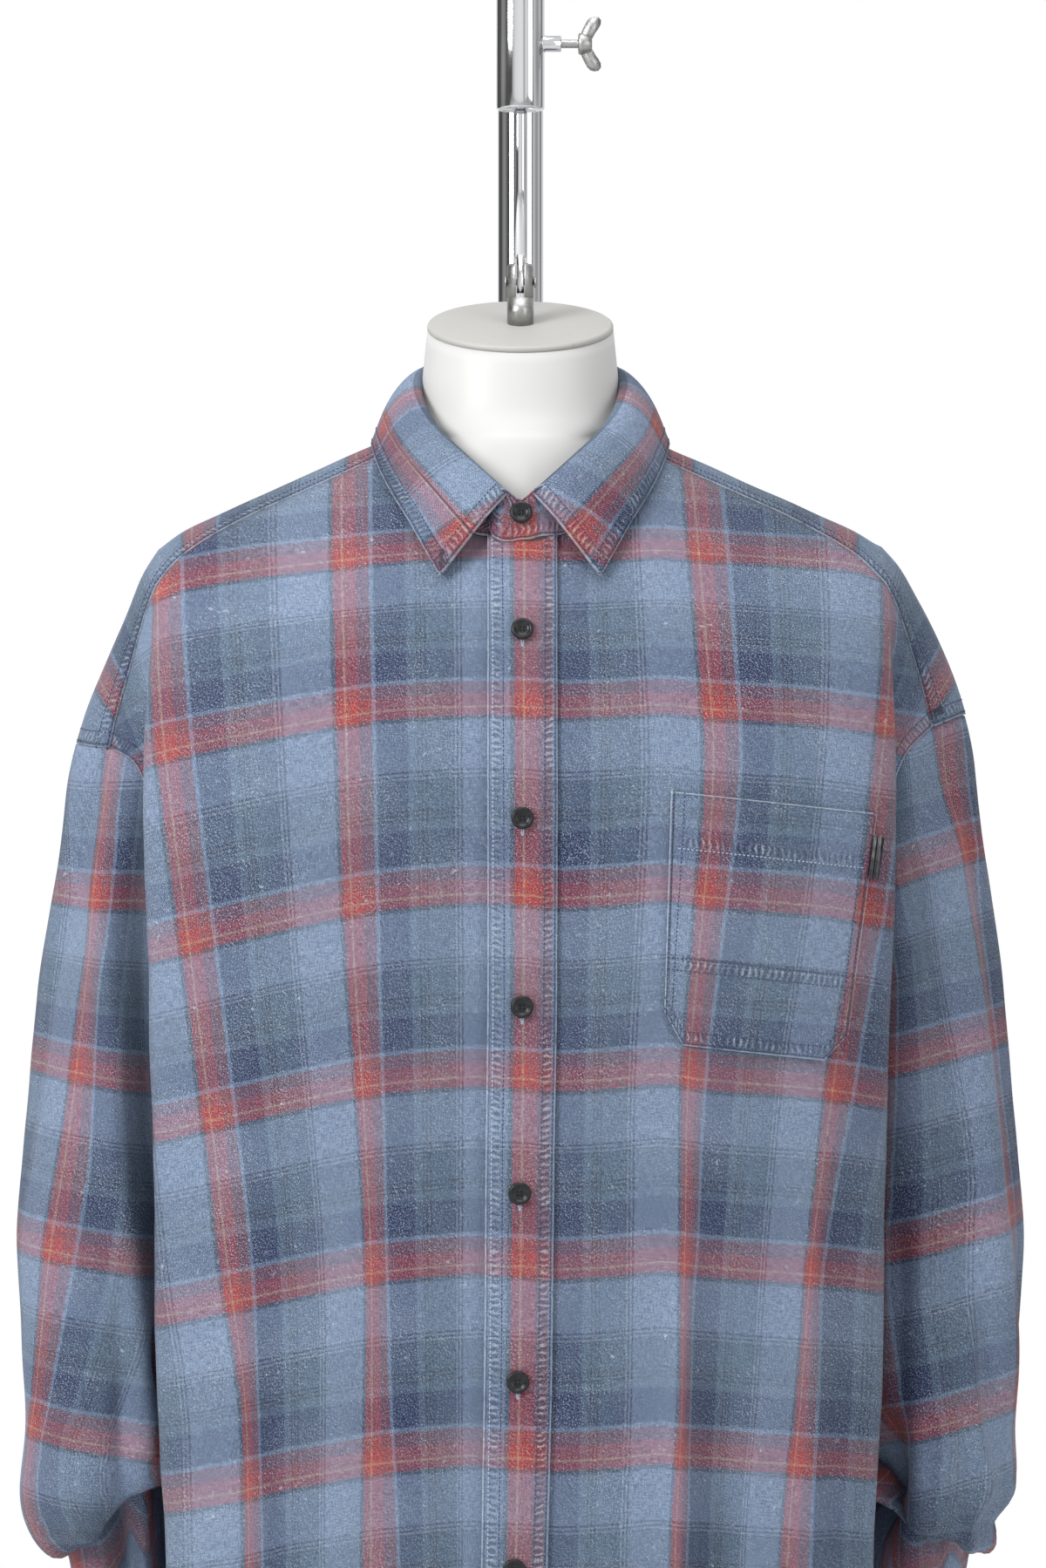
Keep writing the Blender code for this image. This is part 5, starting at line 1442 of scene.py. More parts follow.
print("the collar's outer edge is", round(2 * outer_ways[-1], 3), "m long")
grids["fall"] = rows
add_shell("collar_fall_cloth", rows, places, seam_ways(rows, ("bottom", "first", "last")), trim_cloth,
          wall=COLLAR_WALL)

# %% [markdown]
# ## Stitches
#
# The seams are sewn twice over with short stitches. Each seam is a line of points at a set distance from an
# edge, lifted just off the cloth. One tree of Geometry Nodes turns such lines into curves, sets a point every
# 2.2 millimetres, and lays one small spindle of thread at each.

# %% Lines beside the edges
THREAD_LIFT = 0.00012


def inset_line(rows, edge, inset, start, end):
    """A line on a grid at this distance from one of its edges, from a share of its length to another."""
    lines = rows if edge in ("first", "last") else [list(column) for column in zip(*rows)]
    if edge in ("last", "top"):
        lines = [line[::-1] for line in lines]
    points = []
    for line in lines:
        left, i = inset, 0
        while i < len(line) - 2 and (line[i + 1] - line[i]).length < left:
            left -= (line[i + 1] - line[i]).length
            i += 1
        span = (line[i + 1] - line[i]).length
        points.append(line[i].lerp(line[i + 1], min(left / span, 1.0) if span else 0.0))
    count = len(points) - 1
    return points[round(start * count):round(end * count) + 1]


def seam_lines(name, edges):
    """Stitch lines on one panel: edges holds (edge, distances, start, end)."""
    wrap = name.startswith("cuff")
    lifted_grid = moved_out(grids[name], SEAM_WALLS.get(name, CLOTH_WALL) / 2 + THREAD_LIFT, wrap)
    found = []
    for edge, insets, start, end in edges:
        for inset in insets:
            line = inset_line(lifted_grid, edge, inset, start, end)
            found.append(line + line[:1] if wrap else line)
    return found


EDGE_ROWS, NARROW_ROWS, ONE_ROW, HEM_ROW = (0.0018, 0.0080), (0.0015, 0.0070), (0.0015,), (0.0060,)
DARK_SEAMS = (  # the grid, then its edges with their distances, start and end
    ("placket", (("last", (0.0016, 0.0072), 0, 1), ("first", (0.0088,), 0, 1))),
    ("fall", (("bottom", EDGE_ROWS, 0, 1), ("first", EDGE_ROWS, 0, 0.86), ("last", EDGE_ROWS, 0, 0.86))),
    ("band", (("bottom", ONE_ROW, 0, 1), ("top", ONE_ROW, 0, 1),
              ("first", ONE_ROW, 0.1, 0.9), ("last", ONE_ROW, 0.1, 0.9))),
    ("pocket", tuple((edge, NARROW_ROWS, 0, 1) for edge in ("first", "last", "bottom"))),
    ("yoke", tuple((edge, EDGE_ROWS, 0, 1) for edge in ("bottom", "top", "first", "last"))),
    ("front_left", (("last", EDGE_ROWS, 0, 1),)),
    ("front_right", (("first", EDGE_ROWS, 0, 1),)),
    ("back", (("first", EDGE_ROWS, 0, 1), ("last", EDGE_ROWS, 0, 1))),
    ("front_left", (("bottom", HEM_ROW, 0, 1),)),
    ("front_right", (("bottom", HEM_ROW, 0, 1),)),
    ("back", (("bottom", HEM_ROW, 0, 1),)),
    ("cuff_left", (("top", EDGE_ROWS, 0, 1), ("bottom", EDGE_ROWS, 0, 1))),
    ("cuff_right", (("top", EDGE_ROWS, 0, 1), ("bottom", EDGE_ROWS, 0, 1))),
    ("pocket", (("top", (POCKET_LAP + 0.0018, POCKET_LAP + 0.0078), 0.02, 0.98),)),
)
PALE_SEAMS = (("placket", (("first", (0.0031,), 0, 1),)), ("pocket", (("top", (POCKET_HEM,), 0.06, 0.95),)))
SEAM_WALLS = {"fall": COLLAR_WALL, "band": COLLAR_WALL, "cuff_left": CUFF_WALL, "cuff_right": CUFF_WALL}
navy_lines, pale_lines = [
    [line for name, edges in seams for line in seam_lines(name, edges)] for seams in (DARK_SEAMS, PALE_SEAMS)]
print(len(navy_lines), "lines of dark thread and", len(pale_lines), "of pale thread")


# %% One tree for all stitches
def socket_of(tree, name):
    return next(item.identifier for item in tree.interface.items_tree
                if item.item_type == "SOCKET" and item.in_out == "INPUT" and item.name == name)


def new_geometry_tree(name, inputs):
    tree = bpy.data.node_groups.new(name, "GeometryNodeTree")
    tree.interface.new_socket(name="Geometry", in_out="INPUT", socket_type="NodeSocketGeometry")
    for title, kind in inputs:
        tree.interface.new_socket(name=title, in_out="INPUT", socket_type=kind)
    tree.interface.new_socket(name="Geometry", in_out="OUTPUT", socket_type="NodeSocketGeometry")
    return tree, add_node(tree, "NodeGroupInput"), add_node(tree, "NodeGroupOutput")


def made_real(piece, tree, values):
    """Runs the tree on the piece once, and keeps the result as a plain mesh."""
    modifier = piece.modifiers.new(tree.name, "NODES")
    modifier.node_group = tree
    for name, value in values.items():
        modifier[socket_of(tree, name)] = value
    bpy.context.view_layer.update()
    evaluated = piece.evaluated_get(bpy.context.evaluated_depsgraph_get())
    mesh = bpy.data.meshes.new_from_object(evaluated)
    piece.modifiers.clear()
    piece.data = mesh
    mesh.name = piece.name
    return piece


def real_and_painted(tree, tree_in, tree_out, source):
    """Ends a tree with Realize Instances and Set Material."""
    realise = fed(tree, "GeometryNodeRealizeInstances", source)
    paint = fed(tree, "GeometryNodeSetMaterial", realise.outputs[0], "Geometry")
    link(tree, tree_in.outputs["Material"], paint.inputs["Material"])
    link(tree, paint.outputs[0], tree_out.inputs[0])


thread_tree, thread_in, thread_out = new_geometry_tree("stitches", (
    ("Pitch", "NodeSocketFloat"), ("Spindle", "NodeSocketObject"), ("Material", "NodeSocketMaterial")))
to_curve = fed(thread_tree, "GeometryNodeMeshToCurve", thread_in.outputs["Geometry"], "Mesh")
resample = fed(thread_tree, "GeometryNodeResampleCurve", to_curve.outputs[0], "Curve", mode="LENGTH")
link(thread_tree, thread_in.outputs["Pitch"], resample.inputs["Length"])
tangent = add_node(thread_tree, "GeometryNodeInputTangent")
align = fed(thread_tree, "FunctionNodeAlignRotationToVector", tangent.outputs[0], "Vector", axis="X")
spindle_in = fed(thread_tree, "GeometryNodeObjectInfo", thread_in.outputs["Spindle"], "Object")
on_points = fed(thread_tree, "GeometryNodeInstanceOnPoints", resample.outputs[0], "Points")
link(thread_tree, spindle_in.outputs["Geometry"], on_points.inputs["Instance"])
link(thread_tree, align.outputs[0], on_points.inputs["Rotation"])
real_and_painted(thread_tree, thread_in, thread_out, on_points.outputs[0])

# %% Thread
STITCH_PITCH, STITCH_LENGTH, THREAD_RADIUS, THREAD_SIDES = 0.0022, 0.0015, 0.00028, 4


def object_from(name, points, edges, faces):
    mesh = bpy.data.meshes.new(name)
    mesh.from_pydata(points, edges, faces)
    return into_scene(name, mesh)


def swept_object(name, lines, tree, values):
    """Lines of points, given to a tree that makes thread or tube along them."""
    points, edges = [], []
    for line in lines:
        edges += [(len(points) + i, len(points) + i + 1) for i in range(len(line) - 1)]
        points += [tuple(Vector(p) + LIFT) for p in line]
    piece = made_real(object_from(name, points, edges, []), tree, values)
    piece.data.shade_smooth()
    return piece


spindle_points, spindle_faces = [(-STITCH_LENGTH / 2, 0, 0)], []
for place_on_thread in (-0.30, 0.30):
    for i in range(THREAD_SIDES):
        angle = 2 * math.pi * i / THREAD_SIDES
        spindle_points.append((place_on_thread * STITCH_LENGTH, THREAD_RADIUS * math.cos(angle),
                               THREAD_RADIUS * math.sin(angle)))
spindle_points.append((STITCH_LENGTH / 2, 0, 0))
last_point = len(spindle_points) - 1
for i in range(THREAD_SIDES):
    near, near_after = 1 + i, 1 + (i + 1) % THREAD_SIDES
    far, far_after = near + THREAD_SIDES, near_after + THREAD_SIDES
    spindle_faces += [(0, near_after, near), (near, near_after, far_after, far), (last_point, far, far_after)]
spindle = object_from("spindle", spindle_points, [], spindle_faces)

thread_dark = new_material("thread_dark", {"Base Color": (0.030, 0.048, 0.110, 1), "Roughness": 0.7})[0]
thread_pale = new_material("thread_pale", {"Base Color": (0.42, 0.52, 0.68, 1), "Roughness": 0.8})[0]
for name, found, material in (("stitches_dark", navy_lines, thread_dark),
                              ("stitches_pale", pale_lines, thread_pale)):
    piece = swept_object(
        name, found, thread_tree, {"Pitch": STITCH_PITCH, "Spindle": spindle, "Material": material})
    print(name, "holds", len(piece.data.polygons) // (3 * THREAD_SIDES), "stitches")
bpy.data.objects.remove(spindle)

# %% [markdown]
# ## Buttons
#
# The buttons are turned from dark resin: a raised rim, a dished middle and four holes, which are flat discs
# with painted shade. They sit in the middle of the placket, and under each one on the placket a buttonhole
# shows a little of its pale thread.

# %% A turned shape


def turned_mesh(profile, sides):
    """Points and faces of a turned piece, from (radius, height) pairs about Z, listed from the top down."""
    points, faces, rings = [], [], []
    for radius, height in profile:
        if radius == 0:
            rings.append([len(points)] * sides)
            points.append((0, 0, height))
            continue
        rings.append([len(points) + i for i in range(sides)])
        for i in range(sides):
            angle = 2 * math.pi * i / sides
            points.append((radius * math.cos(angle), radius * math.sin(angle), height))
    for high, low in zip(rings, rings[1:]):
        for i in range(sides):
            after = (i + 1) % sides
            corners = [low[i], low[after], high[after], high[i]]
            face = tuple(c for k, c in enumerate(corners) if c != corners[k - 1])
            if len(face) > 2:
                faces.append(face)
    return points, faces


def add_piece(name, points, faces, material, place=Matrix.Identity(4), smooth_shading=True):
    mesh = bpy.data.meshes.new(name)
    mesh.from_pydata([tuple(place @ Vector(p)) for p in points], [], faces)
    mesh.materials.append(material)
    if smooth_shading:
        mesh.shade_smooth()
    return into_scene(name, mesh)


def at(x, y, z):
    return Matrix.Translation((x, y, z + CHEST_Z))


# %% Buttons
BUTTON_Z = (0.1376, 0.0775, -0.0175, -0.1125, -0.2065, -0.3015, -0.3965)
BUTTON_RADIUS = 0.00575
button_profile = [(r * BUTTON_RADIUS, h * 0.001) for r, h in (
    (0, 1.75), (0.40, 1.80), (0.60, 2.10), (0.68, 2.75), (0.78, 3.02), (0.90, 2.90), (1.0, 2.2), (0.98, 1.2),
    (0.80, 0.2), (0, 0))]
HOLE_WAY, HOLE_RADIUS, HOLE_Z, HOLE_SIDES = 0.0013, 0.00052, 0.00184, 8
button_points, button_faces = turned_mesh(button_profile, 28)
hole_points, hole_faces = [], []
for i in range(4):
    angle = math.pi * (i / 2 + 0.25)
    x, y = HOLE_WAY * math.cos(angle), HOLE_WAY * math.sin(angle)
    start = len(hole_points)
    hole_points += [(x + HOLE_RADIUS * math.cos(k), y + HOLE_RADIUS * math.sin(k), HOLE_Z)
                    for k in (2 * math.pi * j / HOLE_SIDES for j in range(HOLE_SIDES))]
    hole_faces.append(tuple(range(start, start + HOLE_SIDES)))


def object_noise(tree, scale, detail=2.0):
    """Noise on the piece's own place in metres."""
    return noise_texture(tree, add_node(tree, "ShaderNodeTexCoord").outputs["Object"], scale, detail)


def mottled(tree, shader, share, a, b):
    link(tree, mix_colours(tree, share, a, b), shader.inputs["Base Color"])


resin, tree, shader = new_material("button_resin", {"Roughness": 0.28, "Specular IOR Level": 0.35})
mottled(tree, shader, ranged(tree, object_noise(tree, 420, 3.0), 0.35, 0.75), (0.007, 0.008, 0.010),
        (0.018, 0.019, 0.023))
# The four holes are flat discs painted near black, as the shade inside each hole
hollow = new_material("button_hole", {"Base Color": (0.001, 0.001, 0.001, 1), "Roughness": 1.0})[0]


def add_button(name, centre, normal):
    place = at(*centre) @ normal.to_track_quat("Z", "Y").to_matrix().to_4x4()
    count = len(button_points)
    faces = button_faces + [tuple(c + count for c in face) for face in hole_faces]
    piece = add_piece(name, button_points + hole_points, faces, resin, place)
    piece.data.materials.append(hollow)
    for polygon in piece.data.polygons[-4:]:
        polygon.material_index = 1
    return piece


holes_thread = []  # buttonhole stitches, as (middle, along, across, out)
for number, z in enumerate(BUTTON_Z):
    if number:
        x = PLACKET_MIDDLE + lean(z)
        point = Vector((x, torso_y(x, z, 1, True), z))
        above = torso_y(x, z + 0.004, 1, True) - torso_y(x, z - 0.004, 1, True)
        normal = Vector((0, -0.008, above)).normalized()
        face = point + normal * (LAYER + 0.0008 + unevenness(point))
        up = Vector((0, -normal.z, normal.y)) * -1
        holes_thread.append((face, up, Vector((1, 0, 0)), normal))
    else:
        low, high = neckline(1.0), roll_line(1.0)
        point = low.lerp(high, (z - low.z) / (high.z - low.z))
        normal = (high - low).cross(Vector((1, 0, 0))).normalized()
        normal = normal if normal.y < 0 else -normal
        face = Vector((PLACKET_MIDDLE - 0.0005, point.y, z)) + normal * (BAND_OUT + 0.0009)
    add_button("shirt_button_%d" % (number + 1), face, normal)
for name, side in (("left", 1), ("right", -1)):
    button_y = CUFF_Y - CUFF_HALF_Y * 0.985 - 0.0015
    centre = Vector(((CUFF_X + 0.010) * side, button_y - 0.0004, mix(CUFF_TOP, CUFF_BOTTOM, 0.5)))
    add_button("sleeve_button_" + name, centre, Vector((0.12 * side, -1, 0)))

# %% Buttonholes
HOLE_STITCHES, HOLE_LOW, HOLE_HIGH = 30, -0.0086, 0.0050
HOLE_PROFILE = (  # out, across and along
    (0, -0.0005, 0), (0.00016, 0, -0.00024), (0.00022, 0, 0.0), (0.00016, 0, 0.00024), (0, 0.0005, 0))
points, faces = [], []
for face, up, across_way, out in holes_thread:
    for i in range(HOLE_STITCHES):
        share = i / (HOLE_STITCHES - 1)
        apart = mix(0.00028, 0.00060, min(share * 4, 1))
        for way in (-1, 1):
            middle = face + up * mix(HOLE_LOW, HOLE_HIGH, share) + across_way * apart * way
            start = len(points)
            for off, sideways_off, onwards in HOLE_PROFILE:
                points.append(middle + out * off + across_way * sideways_off + up * onwards + LIFT)
            faces += [(start, start + 1, start + 2), (start, start + 2, start + 3),
                      (start + 4, start + 2, start + 1), (start + 4, start + 3, start + 2)]
add_piece("buttonholes", points, faces, thread_pale)
print("nine buttons are on, and six buttonholes lie under those of the placket")

# %% [markdown]
# ## Metal tab
#
# A small folded bar of dark metal is clamped over the pocket's outer edge. It shows as two rounded bars, one
# beside the other.

# %% Tab
TAB_X, TAB_Z, TAB_TILT = 0.1788, -0.0377, math.radians(-9)
TAB_BARS, TAB_LONG, TAB_ROUND = ((-0.0013, 0.0036, 0.0022), (0.0019, 0.0026, 0.0018)), 0.0225, 0.00075
steel, tree, shader = new_material("tab_metal", {"Metallic": 1.0, "Roughness": 0.30})
mottled(tree, shader, ranged(tree, object_noise(tree, 600, 3.0), 0.3, 0.75), (0.070, 0.070, 0.075),
        (0.12, 0.12, 0.125))
here = Vector((TAB_X, torso_y(TAB_X, TAB_Z, 1, True), TAB_Z))
beside = Vector((TAB_X - 0.004, torso_y(TAB_X - 0.004, TAB_Z, 1, True), TAB_Z))
normal = (here - beside).cross(Vector((0, 0, 1))).normalized()
centre = here + normal * (POCKET_LAYER + 0.0022 + unevenness(here))
upright = Vector((0, 0, 1))
across_way = upright.cross(-normal).normalized()
frame_of_tab = Matrix((across_way, upright.cross(across_way), upright)).transposed().to_4x4()
place = at(*centre) @ frame_of_tab @ Matrix.Rotation(TAB_TILT, 4, "Y")
shape = bmesh.new()
for middle, wide, thick in TAB_BARS:
    made = bmesh.ops.create_cube(shape, size=1)
    bmesh.ops.scale(shape, vec=(wide, thick, TAB_LONG), verts=made["verts"])
    bmesh.ops.translate(shape, vec=(middle, 0, 0), verts=made["verts"])
bmesh.ops.bevel(shape, geom=shape.edges, offset=TAB_ROUND, segments=4, affect="EDGES")
bmesh.ops.transform(shape, matrix=place, verts=shape.verts)
tab_mesh = bpy.data.meshes.new("tab")
shape.to_mesh(tab_mesh)
shape.free()
tab_mesh.materials.append(steel)
tab_mesh.shade_smooth()
into_scene("tab", tab_mesh)

# %% [markdown]
# ## Dress form
#
# The form is a light hollow casting with a satin white coat. Only its neck shows. Its top is cut off at a
# slant and closed by a flat lid, and a short fork stands in the lid's middle.

# %% Form
FORM_CLEAR, FORM_BACK_CLEAR = 0.008, 0.012
FORM_RINGS = ((-0.420, 0.148), (-0.300, 0.148), (-0.200, 0.148), (-0.150, 0.155), (-0.090, 0.166),
              (-0.020, 0.176), (0.040, 0.180), (0.085, 0.180), (0.108, 0.177))
SHOULDER_RINGS = (0.128, 0.142)
NECK_RINGS = (
    (0.1750, 0.0600, -0.0615, 0.0550, 0.05),
    (0.1880, 0.0560, -0.0573, 0.0510, 0.25),
    (0.2070, 0.0525, -0.0516, 0.0490, 0.60),
    (0.2395, 0.0490, -0.0463, 0.0463, 1.00),
)
CAP_TILT, CAP_RADIUS, CAP_THICK, FACE_GAP = math.radians(19), 0.049, 0.003, 0.0003
FORM_SIDES, RINGS_BETWEEN, FORM_BOXY = 96, 5, 2.6


def form_column(angle):
    """Points up the form at one angle: the torso's own shape drawn in, then the neck."""
    column = []
    front = math.cos(angle) > 0
    shoulders = tuple((z, (SHOULDER_Z - FORM_CLEAR - z) / SHOULDER_FALL) for z in SHOULDER_RINGS)
    for z, half in FORM_RINGS + shoulders:
        x = half * math.sin(angle)
        middle = read_table(FRONT_SECTIONS if front else BACK_SECTIONS, z)[1]
        across_share = max(1 - abs(x / half) ** FORM_BOXY, 0.0) ** (1 / FORM_BOXY)
        depth = (middle - (FORM_CLEAR if front else FORM_BACK_CLEAR)) * across_share
        depth *= rounding(ridge_z(x) - FORM_CLEAR - z)
        column.append(Vector((x, -depth if front else depth, z)))
    for z, half, y_front, y_back, tilted in NECK_RINGS:
        y = mix(y_back, y_front, 0.5 + 0.5 * math.cos(angle))
        column.append(Vector((half * math.sin(angle), y, z + y * math.tan(CAP_TILT) * tilted)))
    return column


columns = []
for i in range(FORM_SIDES):
    control = form_column(2 * math.pi * i / FORM_SIDES)
    count = (len(control) - 1) * RINGS_BETWEEN
    columns.append([spline(control, k / RINGS_BETWEEN) for k in range(count + 1)])
rings = [list(ring) for ring in zip(*columns)]
top_middle = sum(rings[-1], Vector()) / FORM_SIDES
rings += [[p.lerp(top_middle, 0.02) + Vector((0, 0, 0.0002)) for p in rings[-1]]]
points = [p + LIFT for ring in rings for p in ring]
faces = []
for start in range(0, len(points) - FORM_SIDES, FORM_SIDES):
    for i in range(FORM_SIDES):
        here, after = start + i, start + (i + 1) % FORM_SIDES
        faces.append((here, after, after + FORM_SIDES, here + FORM_SIDES))
faces += [tuple(range(FORM_SIDES))[::-1], tuple(range(len(points) - FORM_SIDES, len(points)))]

satin, tree, shader = new_material("form_satin", {"Roughness": 0.42, "Specular IOR Level": 0.35})
mottled(tree, shader, ranged(tree, object_noise(tree, 9, 3.0), 0.3, 0.7), (0.620, 0.620, 0.610),
        (0.640, 0.640, 0.630))
bumped(tree, shader, object_noise(tree, 60), 0.0002)
add_piece("form_body", points, faces, satin)

# %% Lid
lid_material, tree, shader = new_material("lid_paint", {"Roughness": 0.48})
place_node = add_node(tree, "ShaderNodeTexCoord")
stretched = fed(tree, "ShaderNodeMapping", place_node.outputs["Object"], "Vector")
stretched.inputs["Scale"].default_value = (1.0, 0.25, 1.0)
scuffs = ranged(tree, noise_texture(tree, stretched.outputs[0], 260, 5.0, 0.65), 0.60, 0.75)
mottled(tree, shader, math_node(tree, "MULTIPLY", scuffs, 0.5), (0.455, 0.45, 0.427), (0.34, 0.315, 0.28))
neck_top = NECK_RINGS[-1][0]
lid_place = at(0, 0, neck_top) @ Matrix.Rotation(CAP_TILT, 4, "X") @ Matrix.Translation((0, 0, FACE_GAP))
lid_profile = [(0, CAP_THICK), (CAP_RADIUS * 0.5, CAP_THICK), (CAP_RADIUS - 0.0015, CAP_THICK),
               (CAP_RADIUS - 0.0011, CAP_THICK - 0.0001), (CAP_RADIUS - 0.0003, CAP_THICK - 0.0007),
               (CAP_RADIUS, CAP_THICK - 0.0014), (CAP_RADIUS, 0.0003), (CAP_RADIUS - 0.0005, 0), (0, 0)]
points, faces = turned_mesh(lid_profile, 96)
add_piece("lid", points, faces, lid_material, lid_place)
print("the form stands", round(neck_top + CHEST_Z, 3), "m high at its lid")

# %% [markdown]
# ## Hanger and stand
#
# A thin rod carries the form. Its lower end is flattened to a tongue that a pin holds in the fork. The rod
# slides in a chromed tube and is clamped there by a wing screw. The tube goes over a bend to the column
# behind, which stands on a plate.

# %% Metals
chrome, tree, shader = new_material("chrome", {"Metallic": 1.0})
haze = object_noise(tree, 22, 4.0)
mottled(tree, shader, haze, (0.66, 0.67, 0.68), (0.76, 0.76, 0.77))
link(tree, ranged(tree, haze, 0.35, 0.75, 0.05, 0.13), shader.inputs["Roughness"])
zinc, tree, shader = new_material("cast_zinc", {"Metallic": 1.0})
grain = object_noise(tree, 900, 4.0)
mottled(tree, shader, grain, (0.30, 0.30, 0.30), (0.48, 0.48, 0.47))
link(tree, ranged(tree, grain, 0.3, 0.7, 0.32, 0.48), shader.inputs["Roughness"])
bumped(tree, shader, grain, 0.00012)

# %% Sizes of the hanger and the stand
TUBE_RADIUS, BEND_RADIUS, BEND_Z, BEND_RISE = 0.0127, 0.090, 0.440, 0.003
HEAD_BOTTOM, ROD_RADIUS, ROD_TOP, BORE_RADIUS = 0.355, 0.0035, 0.402, 0.0038
PIN_Z, FORK_RADIUS, FORK_SLOT, PIN_RADIUS = 0.2645, 0.0070, 0.0046, 0.0016
FORK_TOP, SLOT_DEPTH = 0.0095, 0.0085
TONGUE_TOP, TONGUE_LENGTH = 0.0125, 0.0200
SCREW_Z, BOSS_RADIUS, BOSS_END, SHANK_RADIUS = 0.390, 0.00435, 0.0216, 0.0024
BASE_X, BASE_Y, BASE_MIDDLE_Y, BASE_THICK = 0.420, 0.400, 0.060, 0.012


def along_x(x, y, z):
    return at(x, y, z) @ Matrix.Rotation(math.pi / 2, 4, "Y")


def joined(shape, low, high):
    """Faces between two rings of points of a bmesh."""
    for i in range(len(low)):
        after = (i + 1) % len(low)
        shape.faces.new((low[i], low[after], high[after], high[i]))


def shaped(name, build, material, bevel=0.0):
    """A piece from a function that fills a bmesh, with its edges rounded."""
    shape = bmesh.new()
    build(shape)
    if bevel:
        sharp = [edge for edge in shape.edges if len(edge.link_faces) == 2 and edge.calc_face_angle() > 0.6]
        bmesh.ops.bevel(shape, geom=sharp, offset=bevel, segments=2, affect="EDGES", clamp_overlap=True)
    bmesh.ops.recalc_face_normals(shape, faces=shape.faces)
    mesh = bpy.data.meshes.new(name)
    shape.to_mesh(mesh)
    shape.free()
    mesh.materials.append(material)
    mesh.shade_smooth()
    return into_scene(name, mesh)


# %% Fork, pin and rod
def fork_outline(shape):
    """Two jaws on a round foot that is cut to the lid's slant."""
    sides = 40
    foot = neck_top + FACE_GAP * 2 + CAP_THICK
    top, slot_bottom = PIN_Z + FORK_TOP, PIN_Z - SLOT_DEPTH
    half_slot = FORK_SLOT / 2

    def ring(height_at):
        around = [2 * math.pi * i / sides for i in range(sides)]
        places = [(FORK_RADIUS * math.cos(a), FORK_RADIUS * math.sin(a)) for a in around]
        return [shape.verts.new((x, y, height_at(y) + CHEST_Z)) for x, y in places]

    low, high = ring(lambda y: foot + y * math.tan(CAP_TILT)), ring(lambda y: slot_bottom)
    joined(shape, low, high)
    shape.faces.new(low[::-1])
    shape.faces.new(high)
    for way in (-1, 1):
        jaw = []
        for z in (slot_bottom + 0.00001, top - 0.0016, top):
            shrink = 0.0012 if z == top else 0.0
            edge_y = math.sqrt(FORK_RADIUS ** 2 - half_slot ** 2)
            first = math.atan2(edge_y, half_slot)
            line = [(half_slot, -edge_y + shrink)]
            line += [((FORK_RADIUS - shrink) * math.cos(a), (FORK_RADIUS - shrink) * math.sin(a))
                     for a in steps(-first, first, 18)[1:-1]]
            line += [(half_slot, edge_y - shrink)]
            jaw.append([shape.verts.new((x * way, y * way, z + CHEST_Z)) for x, y in line])
        joined(shape, jaw[0], jaw[1])
        joined(shape, jaw[1], jaw[2])
        shape.faces.new(jaw[0][::-1])
        shape.faces.new(jaw[2])


fork = shaped("fork", fork_outline, zinc)
for polygon in fork.data.polygons:
    polygon.use_smooth = abs(polygon.normal.x) < 0.999 and abs(polygon.normal.z) < 0.999
half = FORK_RADIUS + 0.0004
head_side = [(0, half + 0.0012), (0.0022, half + 0.0012), (0.0029, half + 0.0007), (0.0029, half),
             (PIN_RADIUS, half)]
points, faces = turned_mesh(head_side + [(radius, -height) for radius, height in head_side[::-1]], 28)
add_piece("hinge_pin", points, faces, zinc, along_x(0, 0, PIN_Z))

tongue_top = PIN_Z + TONGUE_TOP
rod_profile = [(0, ROD_TOP), (ROD_RADIUS - 0.0004, ROD_TOP), (ROD_RADIUS, ROD_TOP - 0.0004),
               (ROD_RADIUS, tongue_top + 0.0006), (ROD_RADIUS - 0.0006, tongue_top), (0, tongue_top)]
points, faces = turned_mesh(rod_profile, 40)
add_piece("rod_bar", points, faces, chrome, at(0, 0, 0))


def tongue(shape):
    half_x, half_y = (FORK_SLOT - 0.0008) / 2, ROD_RADIUS
    top = tongue_top + 0.0015
    outline = [(-half_y, top), (half_y, top)]
    outline += [(half_y * math.cos(a), top - TONGUE_LENGTH + half_y + half_y * math.sin(a))
                for a in steps(0, -math.pi, 14)]
    sides = [[shape.verts.new((x, y, z + CHEST_Z)) for y, z in outline] for x in (-half_x, half_x)]
    joined(shape, *sides)
    shape.faces.new(sides[0])
    shape.faces.new(sides[1][::-1])


shaped("rod_tongue", tongue, chrome, bevel=0.0004)

# %% Tube with its boss
tube_profile = [(TUBE_RADIUS, BEND_Z), (TUBE_RADIUS, (BEND_Z + HEAD_BOTTOM) / 2),
                (TUBE_RADIUS, HEAD_BOTTOM + 0.0012), (TUBE_RADIUS - 0.0004, HEAD_BOTTOM + 0.0003),
                (TUBE_RADIUS - 0.0012, HEAD_BOTTOM),
                (TUBE_RADIUS - 0.0022, HEAD_BOTTOM), (TUBE_RADIUS - 0.0026, HEAD_BOTTOM + 0.0006),
                (BORE_RADIUS + 0.0012, HEAD_BOTTOM + 0.0010), (BORE_RADIUS, HEAD_BOTTOM + 0.0022),
                (BORE_RADIUS, BEND_Z), (TUBE_RADIUS, BEND_Z)]
points, faces = turned_mesh(tube_profile, 96)
add_piece("head_tube", points, faces, chrome, at(0, 0, 0))
boss_bore, boss_foot = SHANK_RADIUS + 0.0001, 0.010
boss_profile = [(boss_bore, BOSS_END), (BOSS_RADIUS - 0.0005, BOSS_END), (BOSS_RADIUS, BOSS_END - 0.0005),
                (BOSS_RADIUS, TUBE_RADIUS + 0.0008), (BOSS_RADIUS + 0.0007, TUBE_RADIUS - 0.0004),
                (BOSS_RADIUS + 0.0007, boss_foot), (boss_bore, boss_foot), (boss_bore, BOSS_END)]
points, faces = turned_mesh(boss_profile, 40)
add_piece("head_boss", points, faces, chrome, along_x(0, 0, SCREW_Z))

